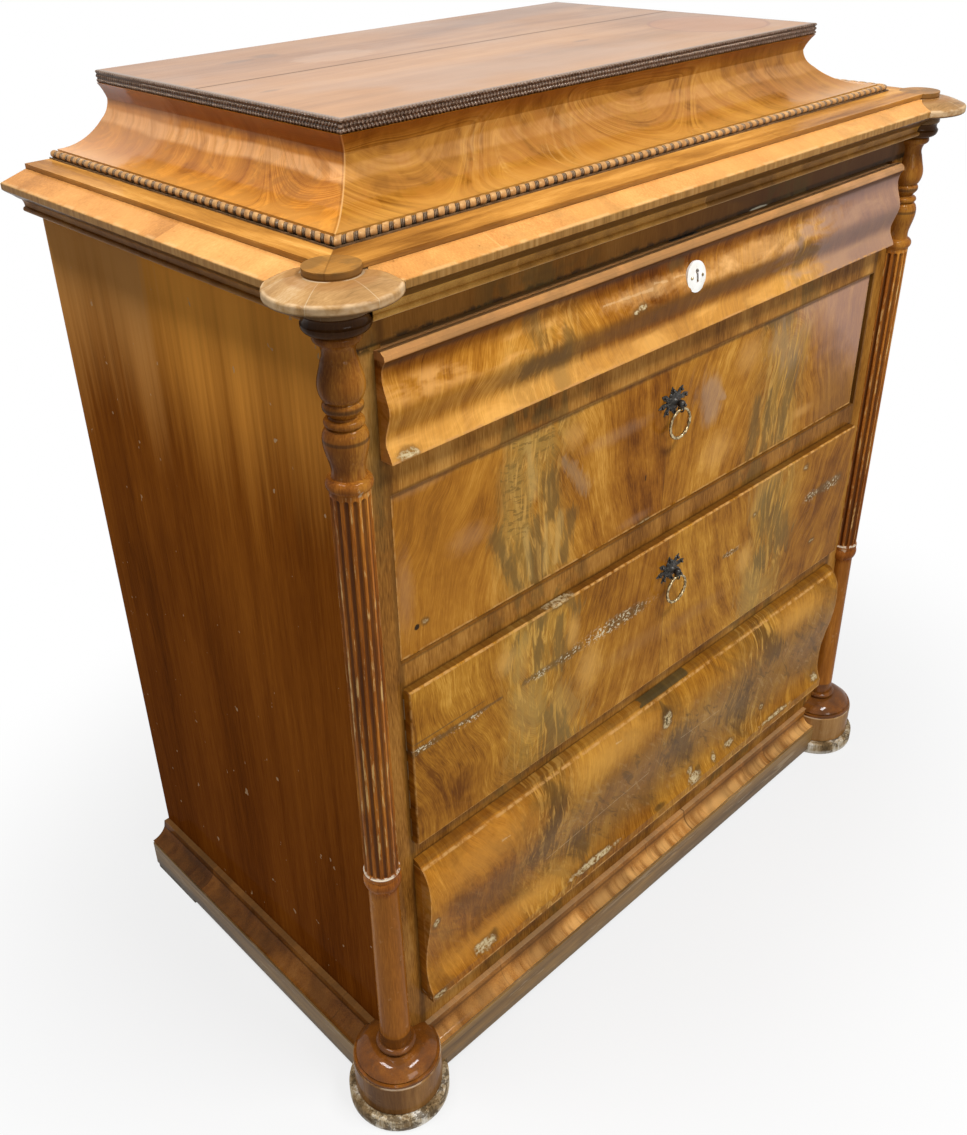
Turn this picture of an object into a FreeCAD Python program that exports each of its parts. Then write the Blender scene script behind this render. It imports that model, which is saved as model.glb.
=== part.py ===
import FreeCAD, Part
import math
import os

# A bachelors chest of four drawers with a raised, hollow-sided top, three-quarter columns
# at the front corners and turned feet.  Millimetres, +Z up.  The front faces -Y, and the
# origin is on the floor, in the middle of the chest's overall width and depth.

V = FreeCAD.Vector
X_AXIS = V(1, 0, 0)
Y_AXIS = V(0, 1, 0)
Z_AXIS = V(0, 0, 1)
ORIGIN = V(0, 0, 0)

# ---- driving dimensions --------------------------------------------------------------------

# carcase
case_width = 972.0
case_depth = 551.9
case_bottom = 82.0
side_thickness = 24.0
post_width = 42.0
post_thickness = 24.0
rail_depth = 60.0
tenon_length = 22.0
tenon_thickness = 8.0
bottom_thickness = 18.0
housing_depth = 6.0
back_thickness = 20.0
back_member = 70.0
back_panel_thickness = 8.0
back_groove = 8.0
carcase_top_thickness = 22.0

# front, from the bottom up
bottom_rail_height = 57.5
opening_4_height = 237.0
lower_rail_height = 27.5
opening_3_height = 220.5
middle_rail_height = 31.5
opening_2_height = 199.0
upper_rail_height = 43.0
opening_1_height = 110.0
frieze_height = 44.0

# turned corners
axis_out_x = 3.5
axis_in_y = 0.5
foot_radius = 64.4
foot_height = 22.0
drum_radius = 56.0
drum_height = 50.0
shaft_radius = 19.5
lower_ring_height = 397.0
upper_ring_drop = 169.0
flute_count = 14
flute_radius = 3.3
flute_centre_out = 1.0
flute_above_lower_ring = 4.0
flute_below_upper_ring = 8.0
capital_radius = 59.9
capital_height = 31.0
boss_radius = 25.2
turning_gap = 0.3

# base
base_moulding_height = 30.0
base_moulding_width = 36.0
base_out_side = 32.4
base_out_front = 24.5
base_fillet_side = 8.0
base_fillet_front = 6.0
plinth_out_side = 33.0
plinth_out_front = 26.0
plinth_thickness = 22.0
plinth_clear = 10.0
rear_foot_width = 66.0
rear_foot_length = 104.0
rear_post_width = 42.0
rear_post_length = 70.0
rear_foot_inset = 1.5

# cornice
cornice_height = 32.0
cornice_width = 60.0
fascia_height = 22.0
nose_out = 40.0
nose_top = 22.0
nose_bottom = 15.0

# raised top
step_thickness = 5.6
step_out_side = 7.5
step_out_front = 14.0
bead_inset_side = 30.0
bead_inset_front = 44.5
bead_width = 11.5
bead_height = 8.6
cavetto_height = 71.9
top_inset = 73.5
cavetto_inner_inset = 101.5
top_thickness = 13.5
ripple_thickness = 6.0
box_back_thickness = 18.0

# drawers
run_gap = 0.3
front_gap_below = 0.7
front_gap_above = 0.9
side_gap = 0.8
drawer_2_side_gap = 3.6
drawer_side = 12.0
drawer_back_clear = 17.9
drawer_top_clear = 6.0
drawer_bottom_thickness = 8.0
drawer_bottom_rise = 12.0
drawer_groove = 6.0
tail_pitch = 44.0
tail_neck = 10.0
tail_tip = 14.0

drawer_1_height = 106.0
lip_below = 2.0
lip_height = 109.0
lip_out = 8.2
lip_tongue = 16.0
drawer_1_lap = 10.0
drawer_2_recess = 3.9
drawer_2_thickness = 22.0
drawer_3_proud = 10.5
drawer_3_thickness = 24.0
drawer_3_round = 2.0
drawer_4_back = 22.0
front_lap = 14.0

# runners, guides and stops
runner_width = 38.0
runner_height = 20.0
guide_height = 30.0
guide_gap = 0.2
stop_from_middle = 300.0
stop_width = 40.0
stop_length = 24.0
stop_height = 6.0

# locks
key_drop_1 = 34.6
key_drop_4 = 40.5
key_radius = 2.9
key_slot_width = 3.6
key_slot_drop = 12.5
lock_half_width = 25.0
lock_depth = 12.0
lock_below_key = 22.0
bolt_half_width = 8.0
bolt_thickness = 5.0
bolt_length = 25.4
bolt_sunk = 0.6
bolt_throw = 10.0
bolt_gap = 0.3
mortise_gap = 1.0

# escutcheon
escutcheon_width = 34.0
escutcheon_height = 35.4
escutcheon_thickness = 4.0
escutcheon_out = 16.4
escutcheon_tilt = 8.0
escutcheon_below_key = 6.0
pin_from_middle = 9.5
pin_radius = 1.1
pin_head_radius = 2.0
pin_length = 11.0

# ring pulls
pull_drop = 48.5
rosette_half_width = 25.5
rosette_half_height = 17.5
rosette_thickness = 2.0
rosette_middle_radius = 8.5
rosette_arm_width = 3.4
rosette_knob_radius = 2.9
rosette_arms = 8
post_radius = 3.2
pull_reach = 12.4
ball_radius = 5.0
lug_radius = 4.6
lug_half_width = 3.0
eye_drop = 6.7
eye_radius = 2.6
ring_radius = 18.6
ring_wire = 1.7

# ---- places that follow from them ----------------------------------------------------------

case_half = case_width / 2
overall_depth = case_depth - axis_in_y + foot_radius
front_y = foot_radius - axis_in_y - overall_depth / 2
back_y = front_y + case_depth
column_x = case_half + axis_out_x
column_y = front_y + axis_in_y
drum_top = foot_height + drum_height
side_inner = case_half - side_thickness
opening_half = case_half - post_width
post_back = front_y + post_thickness
rail_back = front_y + rail_depth
back_front = back_y - back_thickness

opening_4 = case_bottom + bottom_rail_height
lower_rail_bottom = opening_4 + opening_4_height
opening_3 = lower_rail_bottom + lower_rail_height
middle_rail_bottom = opening_3 + opening_3_height
opening_2 = middle_rail_bottom + middle_rail_height
upper_rail_bottom = opening_2 + opening_2_height
opening_1 = upper_rail_bottom + upper_rail_height
frieze_bottom = opening_1 + opening_1_height
case_top = frieze_bottom + frieze_height
cornice_top = case_top + cornice_height
step_top = cornice_top + step_thickness
box_top = step_top + cavetto_height
overall_height = box_top + top_thickness

step_half = case_half + step_out_side
step_front = front_y - step_out_front
bead_half = step_half - bead_inset_side
bead_front = step_front + bead_inset_front
top_half = bead_half - top_inset
top_front = bead_front + top_inset
mitre_y = bead_front + bead_half
cavetto_inner_half = bead_half - cavetto_inner_inset

drawer_end = back_front - drawer_back_clear


# ---- small tools ---------------------------------------------------------------------------

def box(x0, x1, y0, y1, z0, z1):
    return Part.makeBox(x1 - x0, y1 - y0, z1 - z0, V(x0, y0, z0))


def cylinder(radius, length, base, direction):
    return Part.makeCylinder(radius, length, base, direction)


def mirrored(shape):
    return shape.mirror(ORIGIN, X_AXIS)


def pair(shape):
    return Part.makeCompound([shape, mirrored(shape)])


def tidy(shape):
    clean = shape.removeSplitter()
    if len(clean.Solids) == 1:
        return clean.Solids[0]
    return Part.makeCompound(clean.Solids)


def cut_all(shape, tools):
    return tidy(shape.cut(tools))


def fuse_all(shapes):
    return tidy(shapes[0].fuse(shapes[1:]))


def face_from(steps, place):
    """A face whose edge runs through steps: a pair (a, b) is a line to that point,
    ("arc", through, end) an arc, and ("curve", points...) a smooth curve."""
    here = place(*steps[0])
    start = here
    edges = []
    for step in steps[1:]:
        if step[0] == "arc":
            end = place(*step[2])
            edges.append(Part.Arc(here, place(*step[1]), end).toShape())
        elif step[0] == "curve":
            end = place(*step[-1])
            curve = Part.BSplineCurve()
            curve.interpolate([here] + [place(*point) for point in step[1:]])
            edges.append(curve.toShape())
        else:
            end = place(*step)
            edges.append(Part.LineSegment(here, end).toShape())
        here = end
    edges.append(Part.LineSegment(here, start).toShape())
    return Part.Face(Part.Wire(edges))


def turned(steps, x, y, grow=0.0):
    """A full turning about the upright axis at x, y.  Its outline is (radius, height)."""
    def place(radius, height):
        return V(x + (radius + grow if radius > 0 else 0), y, height)
    return face_from(steps, place).revolve(V(x, y, 0), Z_AXIS, 360)


def along_y(steps, x_zero, z_zero, y0, y1):
    """A moulding on the right-hand side: its outline is (outwards, up), from y0 to y1."""
    def place(out, up):
        return V(x_zero + out, y0, z_zero + up)
    return face_from(steps, place).extrude(V(0, y1 - y0, 0))


def along_x(steps, y_zero, z_zero, x0, x1):
    """A moulding on the front: its outline is (outwards, up), from x0 to x1."""
    def place(out, up):
        return V(x0, y_zero - out, z_zero + up)
    return face_from(steps, place).extrude(V(x1 - x0, 0, 0))


# ---- outlines ------------------------------------------------------------------------------

def column_outline():
    """Radius and height of the column, from the drum up to the capital disc."""
    foot = drum_top
    ring = lower_ring_height
    top = case_top
    return [
        (0, foot),
        (54.4, foot),
        (54.4, foot + 3.5),
        (48.5, foot + 4.5),
        (51, foot + 6),
        ("arc", (40.5, foot + 15), (22, foot + 19)),
        ("arc", (25, foot + 23.5), (19.6, foot + 28)),
        (17.4, ring - 26),
        ("arc", (21.7, ring - 16), (20, ring - 6)),
        (20.8, ring - 5.5),
        (20.8, ring),
        (shaft_radius, ring),
        (shaft_radius, top - upper_ring_drop),
        ("arc", (22.4, top - 163), (16.5, top - 156)),
        ("curve", (15.9, top - 153), (17.8, top - 139), (21.3, top - 119), (19.1, top - 110),
         (15.5, top - 106.5)),
        ("arc", (18.7, top - 102), (14, top - 98.5)),
        (13, top - 97),
        (17, top - 92),
        ("arc", (18.8, top - 87.5), (16.5, top - 82.5)),
        ("curve", (21, top - 73), (21.5, top - 66), (19, top - 54), (16.5, top - 44)),
        ("arc", (15.2, top - 35), (18.2, top - 28.5)),
        ("arc", (22.2, top - 23.5), (19.5, top - 19.5)),
        (24, top - 18.5),
        ("arc", (29.8, top - 15), (30.8, top - 10)),
        ("arc", (28.5, top - 5), (31, top)),
        (0, top),
    ]


def capital_outline():
    top = case_top + capital_height
    return [
        (0, case_top),
        (31, case_top),
        (31, case_top + 9.5),
        ("arc", (45, case_top + 10.4), (capital_radius - 2, case_top + 13)),
        ("arc", (capital_radius - 0.5, case_top + 13.8), (capital_radius, case_top + 15.2)),
        (capital_radius, case_top + 19.6),
        ("arc", (capital_radius - 0.4, case_top + 21), (capital_radius - 1.4, case_top + 22)),
        ("curve", (49.4, case_top + 25.8), (40, case_top + 28.9), (32, case_top + 30.6),
         (boss_radius + 0.6, top)),
        (0, top),
    ]


def drum_outline():
    return [
        (0, foot_height),
        (drum_radius - 1.5, foot_height),
        (drum_radius, foot_height + 1.5),
        (drum_radius, drum_top - 1.5),
        (drum_radius - 1.5, drum_top),
        (0, drum_top),
    ]


def foot_outline():
    return [
        (0, 0),
        (foot_radius - 3, 0),
        ("arc", (foot_radius - 0.9, 0.9), (foot_radius, 3)),
        (foot_radius, foot_height - 3),
        ("arc", (foot_radius - 0.9, foot_height - 0.9), (foot_radius - 3, foot_height)),
        (0, foot_height),
    ]


def base_outline(out, fillet):
    """A cove under a square fillet."""
    return [
        (-base_moulding_width, 0),
        (-base_moulding_width, base_moulding_height),
        (fillet, base_moulding_height),
        (fillet + 1.9, base_moulding_height - 11),
        ("arc", (fillet + (out - fillet) * 0.36, base_moulding_height - 19.8), (out, 4.2)),
        (out - 1, 0),
    ]


def cornice_outline(flat):
    """A thick board whose top slopes from flat to a square nose, hollowed below."""
    return [
        (-cornice_width, 0),
        (-cornice_width, cornice_height),
        (flat, cornice_height),
        (nose_out - 0.9, nose_top + 0.3),
        ("arc", (nose_out - 0.3, nose_top - 0.1), (nose_out, nose_top - 0.8)),
        (nose_out, nose_bottom),
        ("curve", (36.5, 11.8), (30.5, 7.8), (25, 3.2), (20, 0)),
    ]


def fascia_outline():
    """A hollow above a bead, with a sloping underside."""
    return [
        (0, 0),
        (0, fascia_height),
        (20, fascia_height),
        ("arc", (18.1, 18), (17.6, 13.9)),
        ("arc", (20.4, 10.9), (17.5, 8)),
        (14, 6),
    ]


def cavetto_outline():
    """The deep hollow of the raised top.  Outwards is counted from the bead's outer edge."""
    return [
        (-cavetto_inner_inset, 0),
        (-cavetto_inner_inset, cavetto_height),
        (-top_inset, cavetto_height),
        ("arc", (-79.2, cavetto_height - 8.5), (-83.2, cavetto_height - 18.4)),
        ("arc", (-79.9, cavetto_height - 30), (-71.7, cavetto_height - 39.4)),
        ("arc", (-46, cavetto_height - 57), (-bead_width, bead_height)),
        (-bead_width, 0),
    ]


def bead_outline():
    return [
        (-bead_width, 0),
        (-bead_width, bead_height),
        ("arc", (-3.2, bead_height * 0.78), (0, 1.6)),
        (0, 0),
    ]


def drawer_1_outline(height):
    """The lip, hollow, belly and flared foot of the top drawer's front."""
    return [
        (run_gap, 0),
        (16.7, 0),
        (16.7, 1),
        ("curve", (15.7, 3.8), (9.3, 0.166 * height), (12.8, 0.332 * height),
         (17, 0.487 * height), (12, 0.643 * height), (8.7, 0.788 * height),
         (12, 0.892 * height)),
        (14.7, 0.922 * height),
        (13.7, height - 4.2),
        (8.4, height),
        (run_gap, height - 1.2),
    ]


def drawer_4_outline(height):
    """The swelling and the flared foot of the bottom drawer's front."""
    return [
        (-drawer_4_back, 0),
        (21.2, 0),
        (21.2, 0.06 * height),
        ("curve", (15, 0.12 * height), (11.7, 0.22 * height), (15.3, 0.41 * height),
         (23.8, 0.61 * height), (26.4, 0.78 * height), (22, 0.905 * height),
         (15.7, 0.952 * height)),
        (7.6, height - 1.8),
        (-0.6, height),
        (-drawer_4_back, height),
    ]


# ---- base, columns and feet ----------------------------------------------------------------

def corner_hollows():
    """What the mouldings and the plinth leave free round both turned feet."""
    drum = cylinder(drum_radius + turning_gap, drum_height + 1, V(column_x, column_y, foot_height - 1),
                    Z_AXIS)
    foot = cylinder(foot_radius + turning_gap, foot_height, V(column_x, column_y, 0), Z_AXIS)
    base = turned(column_outline(), column_x, column_y, turning_gap)
    return [drum, foot, base, mirrored(drum), mirrored(foot), mirrored(base)]


def columns():
    right = turned(column_outline(), column_x, column_y)
    flute_start = lower_ring_height + flute_above_lower_ring
    flute_end = case_top - upper_ring_drop - flute_below_upper_ring
    cutters = []
    for index in range(flute_count):
        angle = math.radians(360 / flute_count * (index + 0.5))
        reach = shaft_radius + flute_centre_out
        x = column_x + reach * math.cos(angle)
        y = column_y + reach * math.sin(angle)
        cutters.append(cylinder(flute_radius, flute_end - flute_start, V(x, y, flute_start), Z_AXIS))
        cutters.append(Part.makeSphere(flute_radius, V(x, y, flute_start)))
        cutters.append(Part.makeSphere(flute_radius, V(x, y, flute_end)))
    cutters.append(box(0, case_half, front_y, back_y, case_bottom, case_top))
    right = cut_all(right, cutters)
    return {"column_right": right, "column_left": mirrored(right)}


def feet():
    drum = turned(drum_outline(), column_x, column_y)
    disc = turned(foot_outline(), column_x, column_y)
    outer = case_half + plinth_out_side - rear_foot_inset
    end = back_y - rear_foot_inset
    pad = box(outer - rear_foot_width, outer, end - rear_foot_length, end, 0, plinth_clear)
    post_out = case_half + plinth_out_side - plinth_thickness
    post = box(post_out - rear_post_width, post_out, end - rear_post_length, end, plinth_clear, case_bottom)
    inner_moulding = box(case_half - base_moulding_width, post_out, front_y, back_y,
                         case_bottom - base_moulding_height, case_bottom)
    rear = fuse_all([pad, post]).cut(inner_moulding)
    return {"foot_drums": pair(drum), "foot_discs": pair(disc), "rear_feet": pair(tidy(rear))}


def base():
    z = case_bottom - base_moulding_height
    inner = case_half - base_moulding_width
    hollows = corner_hollows()
    side = along_y(base_outline(base_out_side, base_fillet_side), case_half, z, front_y, back_y)
    front = along_x(base_outline(base_out_front, base_fillet_front), front_y, z, -inner, inner)
    side = cut_all(side, hollows)
    front = cut_all(front, hollows)
    plinth_x = case_half + plinth_out_side
    plinth_y = front_y - plinth_out_front
    plinth_side = box(plinth_x - plinth_thickness, plinth_x, column_y, back_y, plinth_clear, z)
    plinth_front = box(-column_x, column_x, plinth_y, plinth_y + plinth_thickness, plinth_clear, z)
    return {
        "base_moulding": Part.makeCompound([side, mirrored(side), front]),
        "plinth_sides": pair(cut_all(plinth_side, hollows)),
        "plinth_front": cut_all(plinth_front, hollows),
    }


# ---- carcase -------------------------------------------------------------------------------

def rail(bottom, height):
    body = box(-opening_half, opening_half, front_y, rail_back, bottom, bottom + height)
    middle = front_y + post_thickness / 2
    reach = opening_half + tenon_length
    tenon = box(-reach, reach, middle - tenon_thickness / 2, middle + tenon_thickness / 2,
                bottom + 3, bottom + height - 3)
    return fuse_all([body, tenon])


def mortise(bottom_of_rail, back_of_front):
    """The slot in a rail that the lock's bolt rises into."""
    y = back_of_front - lock_depth / 2
    half = bolt_half_width + mortise_gap
    deep = bolt_thickness / 2 + mortise_gap
    return box(-half, half, y - deep, y + deep, bottom_of_rail - 1, bottom_of_rail + bolt_throw + 2)


def back():
    z0 = case_bottom
    z1 = case_top
    y0 = back_front
    y1 = back_y
    stile = box(side_inner - back_member, side_inner, y0, y1, z0, z1)
    muntin = box(-back_member / 2, back_member / 2, y0, y1, z0 + back_member, z1 - back_member)
    inner = side_inner - back_member
    low = box(-inner, inner, y0, y1, z0, z0 + back_member)
    high = box(-inner, inner, y0, y1, z1 - back_member, z1)
    middle = (y0 + y1) / 2
    panel = box(back_member / 2 - back_groove, inner + back_groove,
                middle - back_panel_thickness / 2, middle + back_panel_thickness / 2,
                z0 + back_member - back_groove, z1 - back_member + back_groove)
    panels = [panel, mirrored(panel)]
    members = [cut_all(piece, panels) for piece in (stile, mirrored(stile), muntin, low, high)]
    return {"back_frame": Part.makeCompound(members), "back_panel": Part.makeCompound(panels)}


def carcase():
    parts = {}
    rails = {
        "bottom_rail": rail(case_bottom, bottom_rail_height),
        "lower_rail": rail(lower_rail_bottom, lower_rail_height),
        "middle_rail": rail(middle_rail_bottom, middle_rail_height),
        "upper_rail": rail(upper_rail_bottom, upper_rail_height),
        "frieze_rail": rail(frieze_bottom, frieze_height),
    }
    post = box(opening_half, case_half, front_y, post_back, case_bottom, case_top)
    parts["corner_posts"] = pair(cut_all(post, list(rails.values())))
    rails["lower_rail"] = cut_all(rails["lower_rail"], [mortise(lower_rail_bottom, drawer_4_rear())])
    rails["frieze_rail"] = cut_all(rails["frieze_rail"], [mortise(frieze_bottom, drawer_1_rear())])
    parts.update(rails)
    reach = side_inner + housing_depth
    board = box(-reach, reach, rail_back, back_front, case_bottom, case_bottom + bottom_thickness)
    side = box(side_inner, case_half, post_back, back_y, case_bottom, case_top)
    side = cut_all(side, [board])
    parts["bottom_board"] = board
    parts["side_panel_right"] = side
    parts["side_panel_left"] = mirrored(side)
    parts.update(back())
    return parts


def drawer_runs():
    """Runners, guides and stops for the four drawers."""
    runners = []
    guides = []
    stops = []
    rears = (drawer_1_rear(), drawer_2_rear(), drawer_3_rear(), drawer_4_rear())
    for floor, rear in zip((opening_1, opening_2, opening_3, opening_4), rears):
        runner = box(side_inner - runner_width, side_inner, rail_back, back_front,
                     floor - runner_height, floor)
        guide = box(opening_half + guide_gap, side_inner, post_back, back_front,
                    floor, floor + guide_height)
        stop_start = rear + run_gap
        stop = box(stop_from_middle, stop_from_middle + stop_width, stop_start,
                   stop_start + stop_length, floor, floor + stop_height)
        runners += [runner, mirrored(runner)]
        guides += [guide, mirrored(guide)]
        stops += [stop, mirrored(stop)]
    return {
        "drawer_runners": Part.makeCompound(runners),
        "drawer_guides": Part.makeCompound(guides),
        "drawer_stops": Part.makeCompound(stops),
    }


# ---- cornice and raised top ----------------------------------------------------------------

def cornice():
    disc = turned(capital_outline(), column_x, column_y)
    hollow = turned(capital_outline(), column_x, column_y, turning_gap)
    boss_seat = cylinder(boss_radius + 5, cornice_height, V(column_x, column_y, case_top), Z_AXIS)
    hollows = [hollow, boss_seat, mirrored(hollow), mirrored(boss_seat)]
    side = along_y(cornice_outline(step_out_side), case_half, case_top, front_y, back_y)
    front = along_x(cornice_outline(step_out_front), front_y, case_top, -column_x, column_x)
    front = cut_all(front, [side, mirrored(side)] + hollows)
    side = cut_all(side, hollows)
    inner = case_half - cornice_width
    board = box(-inner, inner, front_y + cornice_width, back_y, cornice_top - carcase_top_thickness,
                cornice_top)
    neck = cylinder(31 + turning_gap, fascia_height, V(column_x, column_y, case_top - fascia_height),
                    Z_AXIS)
    z = case_top - fascia_height
    fascia_side = cut_all(along_y(fascia_outline(), case_half, z, column_y, back_y), [neck])
    fascia_front = along_x(fascia_outline(), front_y, z, -column_x, column_x)
    fascia_front = cut_all(fascia_front, [neck, mirrored(neck)])
    return {
        "capital_discs": pair(disc),
        "cornice_front": front,
        "cornice_sides": pair(side),
        "carcase_top": board,
        "fascia_moulding": Part.makeCompound([fascia_side, mirrored(fascia_side), fascia_front]),
    }


def mitre_wedge(z0, z1):
    """Everything in front of the two corner mitres of the raised top."""
    reach = 2 * case_half
    corners = [V(0, mitre_y, z0), V(reach, mitre_y - reach, z0), V(-reach, mitre_y - reach, z0)]
    return Part.Face(Part.makePolygon(corners + corners[:1])).extrude(V(0, 0, z1 - z0))


def mitred_frame(outline, half, front, z, height):
    """Right-hand side and front of a three-sided frame mitred at the front corners."""
    wedge = mitre_wedge(z - 1, z + height + 1)
    side = along_y(outline, half, z, front - 1, back_y).cut(wedge)
    face = along_x(outline, front, z, -half - 1, half + 1).common(wedge)
    return tidy(side), tidy(face)


def raised_top():
    step = box(-step_half, step_half, step_front, back_y, cornice_top, step_top)
    boss_bottom = case_top + capital_height
    boss = cylinder(boss_radius, step_top - boss_bottom, V(column_x, column_y, boss_bottom), Z_AXIS)
    step = fuse_all([step, boss, mirrored(boss)])
    cavetto_side, cavetto_front = mitred_frame(cavetto_outline(), bead_half, bead_front, step_top,
                                               cavetto_height)
    bead_side, bead_face = mitred_frame(bead_outline(), bead_half, bead_front, step_top, bead_height)
    ripple_outline = [(-ripple_thickness, 0), (-ripple_thickness, top_thickness), (0, top_thickness),
                      (0, 0)]
    ripple_side, ripple_face = mitred_frame(ripple_outline, top_half, top_front, box_top,
                                            top_thickness)
    board_half = top_half - ripple_thickness
    board = box(-board_half, board_half, top_front + ripple_thickness, back_y, box_top, overall_height)
    back_board = box(-cavetto_inner_half, cavetto_inner_half, back_y - box_back_thickness, back_y,
                     step_top, box_top)
    return {
        "step_board": step,
        "cavetto_front": cavetto_front,
        "cavetto_sides": pair(cavetto_side),
        "bead_moulding": Part.makeCompound([bead_side, mirrored(bead_side), bead_face]),
        "ripple_moulding": Part.makeCompound([ripple_side, mirrored(ripple_side), ripple_face]),
        "top_board": board,
        "raised_box_back": back_board,
    }


# ---- drawers -------------------------------------------------------------------------------

def drawer_1_rear():
    return front_y - run_gap + lip_tongue


def drawer_2_rear():
    return front_y + drawer_2_recess + drawer_2_thickness


def drawer_3_rear():
    return front_y - drawer_3_proud + drawer_3_thickness


def drawer_4_rear():
    return front_y + drawer_4_back


def key_shape(y0, y1, z):
    """A keyhole's round and slot, as a solid from y0 to y1."""
    barrel = cylinder(key_radius, y1 - y0, V(0, y0, z), Y_AXIS)
    slot = box(-key_slot_width / 2, key_slot_width / 2, y0, y1, z - key_slot_drop, z)
    return fuse_all([barrel, slot])


def lock(number, rear, top, key_z):
    """A lock let into the back of a front, its bolt, and what both take out of the wood."""
    y0 = rear - lock_depth
    middle = rear - lock_depth / 2
    case = box(-lock_half_width, lock_half_width, y0, rear, key_z - lock_below_key, top)
    bolt_top = top - bolt_sunk
    bolt = box(-bolt_half_width, bolt_half_width, middle - bolt_thickness / 2,
               middle + bolt_thickness / 2, bolt_top - bolt_length, bolt_top)
    half = bolt_half_width + bolt_gap
    deep = bolt_thickness / 2 + bolt_gap
    channel = box(-half, half, middle - deep, middle + deep, bolt_top - bolt_length - bolt_gap, top + 1)
    body = cut_all(case, [channel, key_shape(y0 - 1, middle, key_z)])
    return {"lock_%d" % number: body, "bolt_%d" % number: bolt}, case


def tails(x0, x1, y_neck, y_tip, z0, z1):
    """Dovetails in a row between z0 and z1, wider at y_tip than at y_neck."""
    count = max(2, round((z1 - z0) / tail_pitch))
    pitch = (z1 - z0) / count
    row = []
    for index in range(count):
        z = z0 + pitch * (index + 0.5)
        corners = [V(x0, y_neck, z - tail_neck), V(x0, y_neck, z + tail_neck),
                   V(x0, y_tip, z + tail_tip), V(x0, y_tip, z - tail_tip)]
        row.append(Part.Face(Part.makePolygon(corners + corners[:1])).extrude(V(x1 - x0, 0, 0)))
    return row


def drawer(number, front, floor, height, half, rear, lap, extra_cuts):
    """Sides, back and bottom of a drawer, and its front cut to take them."""
    z0 = floor + run_gap
    z1 = floor + height - drawer_top_clear
    inner = half - drawer_side
    panel_z = z0 + drawer_bottom_rise
    panel_top = panel_z + drawer_bottom_thickness
    panel = box(-inner - drawer_groove, inner + drawer_groove, rear - drawer_groove, drawer_end,
                panel_z, panel_top)
    front_tails = tails(inner, half, rear, rear - lap, z0, z1)
    board = box(inner, half, rear, drawer_end, z0, z1)
    back_y0 = drawer_end - drawer_side
    pins = tails(inner, half, drawer_end, back_y0, panel_top, z1)
    side = cut_all(fuse_all([board] + front_tails), [panel] + pins)
    back_board = box(-inner, inner, back_y0, drawer_end, panel_top, z1)
    back_board = fuse_all([back_board] + pins + [mirrored(pin) for pin in pins])
    both_tails = front_tails + [mirrored(tail) for tail in front_tails]
    front = cut_all(front, both_tails + [panel])
    for hole in extra_cuts:
        front = cut_all(front, [hole])
    name = "drawer_%d_" % number
    return {
        name + "front": front,
        name + "sides": pair(side),
        name + "back": back_board,
        name + "bottom": panel,
    }


def escutcheon(face_y, key_z):
    """A domed oval plate with a keyhole, leaning back with the front, and its two pins."""
    rim = Part.Wire([Part.Ellipse(ORIGIN, escutcheon_height / 2, escutcheon_width / 2).toShape()])
    upright = FreeCAD.Rotation(Y_AXIS, 90).multiply(FreeCAD.Rotation(X_AXIS, 90))
    rim.transformShape(FreeCAD.Placement(ORIGIN, upright).toMatrix())
    plate = Part.Face(rim).extrude(V(0, escutcheon_thickness, 0))
    dome_radius = 110.0
    plate = plate.common(Part.makeSphere(dome_radius, V(0, dome_radius, 0)))
    plate = plate.cut(key_shape(-1, escutcheon_thickness + 1, escutcheon_below_key))
    pins = []
    for side in (-1, 1):
        x = side * pin_from_middle
        shank = cylinder(pin_radius, pin_length, V(x, 0.4, 0), Y_AXIS)
        head = Part.makeSphere(pin_head_radius, V(x, pin_head_radius * 0.45, 0))
        pins.append(fuse_all([shank, head]))
    seat = FreeCAD.Placement(V(0, face_y, key_z - escutcheon_below_key),
                             FreeCAD.Rotation(X_AXIS, -escutcheon_tilt))
    plate.transformShape(seat.toMatrix())
    for pin in pins:
        pin.transformShape(seat.toMatrix())
    plate = cut_all(plate, pins)
    return plate, Part.makeCompound(pins)


def drawer_1():
    floor = opening_1
    height = drawer_1_height
    half = opening_half - side_gap
    rear = drawer_1_rear()
    lip_half = opening_half + lip_out
    lip = along_x(drawer_1_outline(lip_height), front_y, floor - lip_below, -lip_half, lip_half)
    tongue_top = floor + height - front_gap_above
    tongue = box(-half, half, front_y - run_gap, rear, floor + front_gap_below, tongue_top)
    front = fuse_all([lip, tongue])
    key_z = tongue_top - key_drop_1
    hardware, pocket = lock(1, rear, tongue_top, key_z)
    plate, pins = escutcheon(front_y - escutcheon_out, key_z)
    keyhole = key_shape(front_y - 30, rear - lock_depth + 0.1, key_z)
    cuts = [pocket, keyhole, plate] + pins.Solids
    parts = drawer(1, front, floor, height, half, rear, drawer_1_lap, cuts)
    parts.update(hardware)
    parts["escutcheon"] = plate
    parts["escutcheon_pins"] = pins
    return parts


def drawer_2():
    half = opening_half - drawer_2_side_gap
    top = opening_2 + opening_2_height - front_gap_above
    face = front_y + drawer_2_recess
    front = box(-half, half, face, drawer_2_rear(), opening_2 + front_gap_below, top)
    parts = drawer(2, front, opening_2, opening_2_height, half, drawer_2_rear(), front_lap, [])
    parts.update(ring_pull(2, face, top - pull_drop))
    return parts


def drawer_3():
    half = opening_half - side_gap
    top = opening_3 + opening_3_height - front_gap_above
    face = front_y - drawer_3_proud
    front = box(-half, half, face, drawer_3_rear(), opening_3 + front_gap_below, top)
    rim = [edge for edge in front.Edges
           if abs(edge.BoundBox.YMin - face) < 0.01 and abs(edge.BoundBox.YMax - face) < 0.01]
    front = front.makeFillet(drawer_3_round, rim)
    parts = drawer(3, front, opening_3, opening_3_height, half, drawer_3_rear(), front_lap, [])
    parts.update(ring_pull(3, face, top - pull_drop))
    return parts


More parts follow.
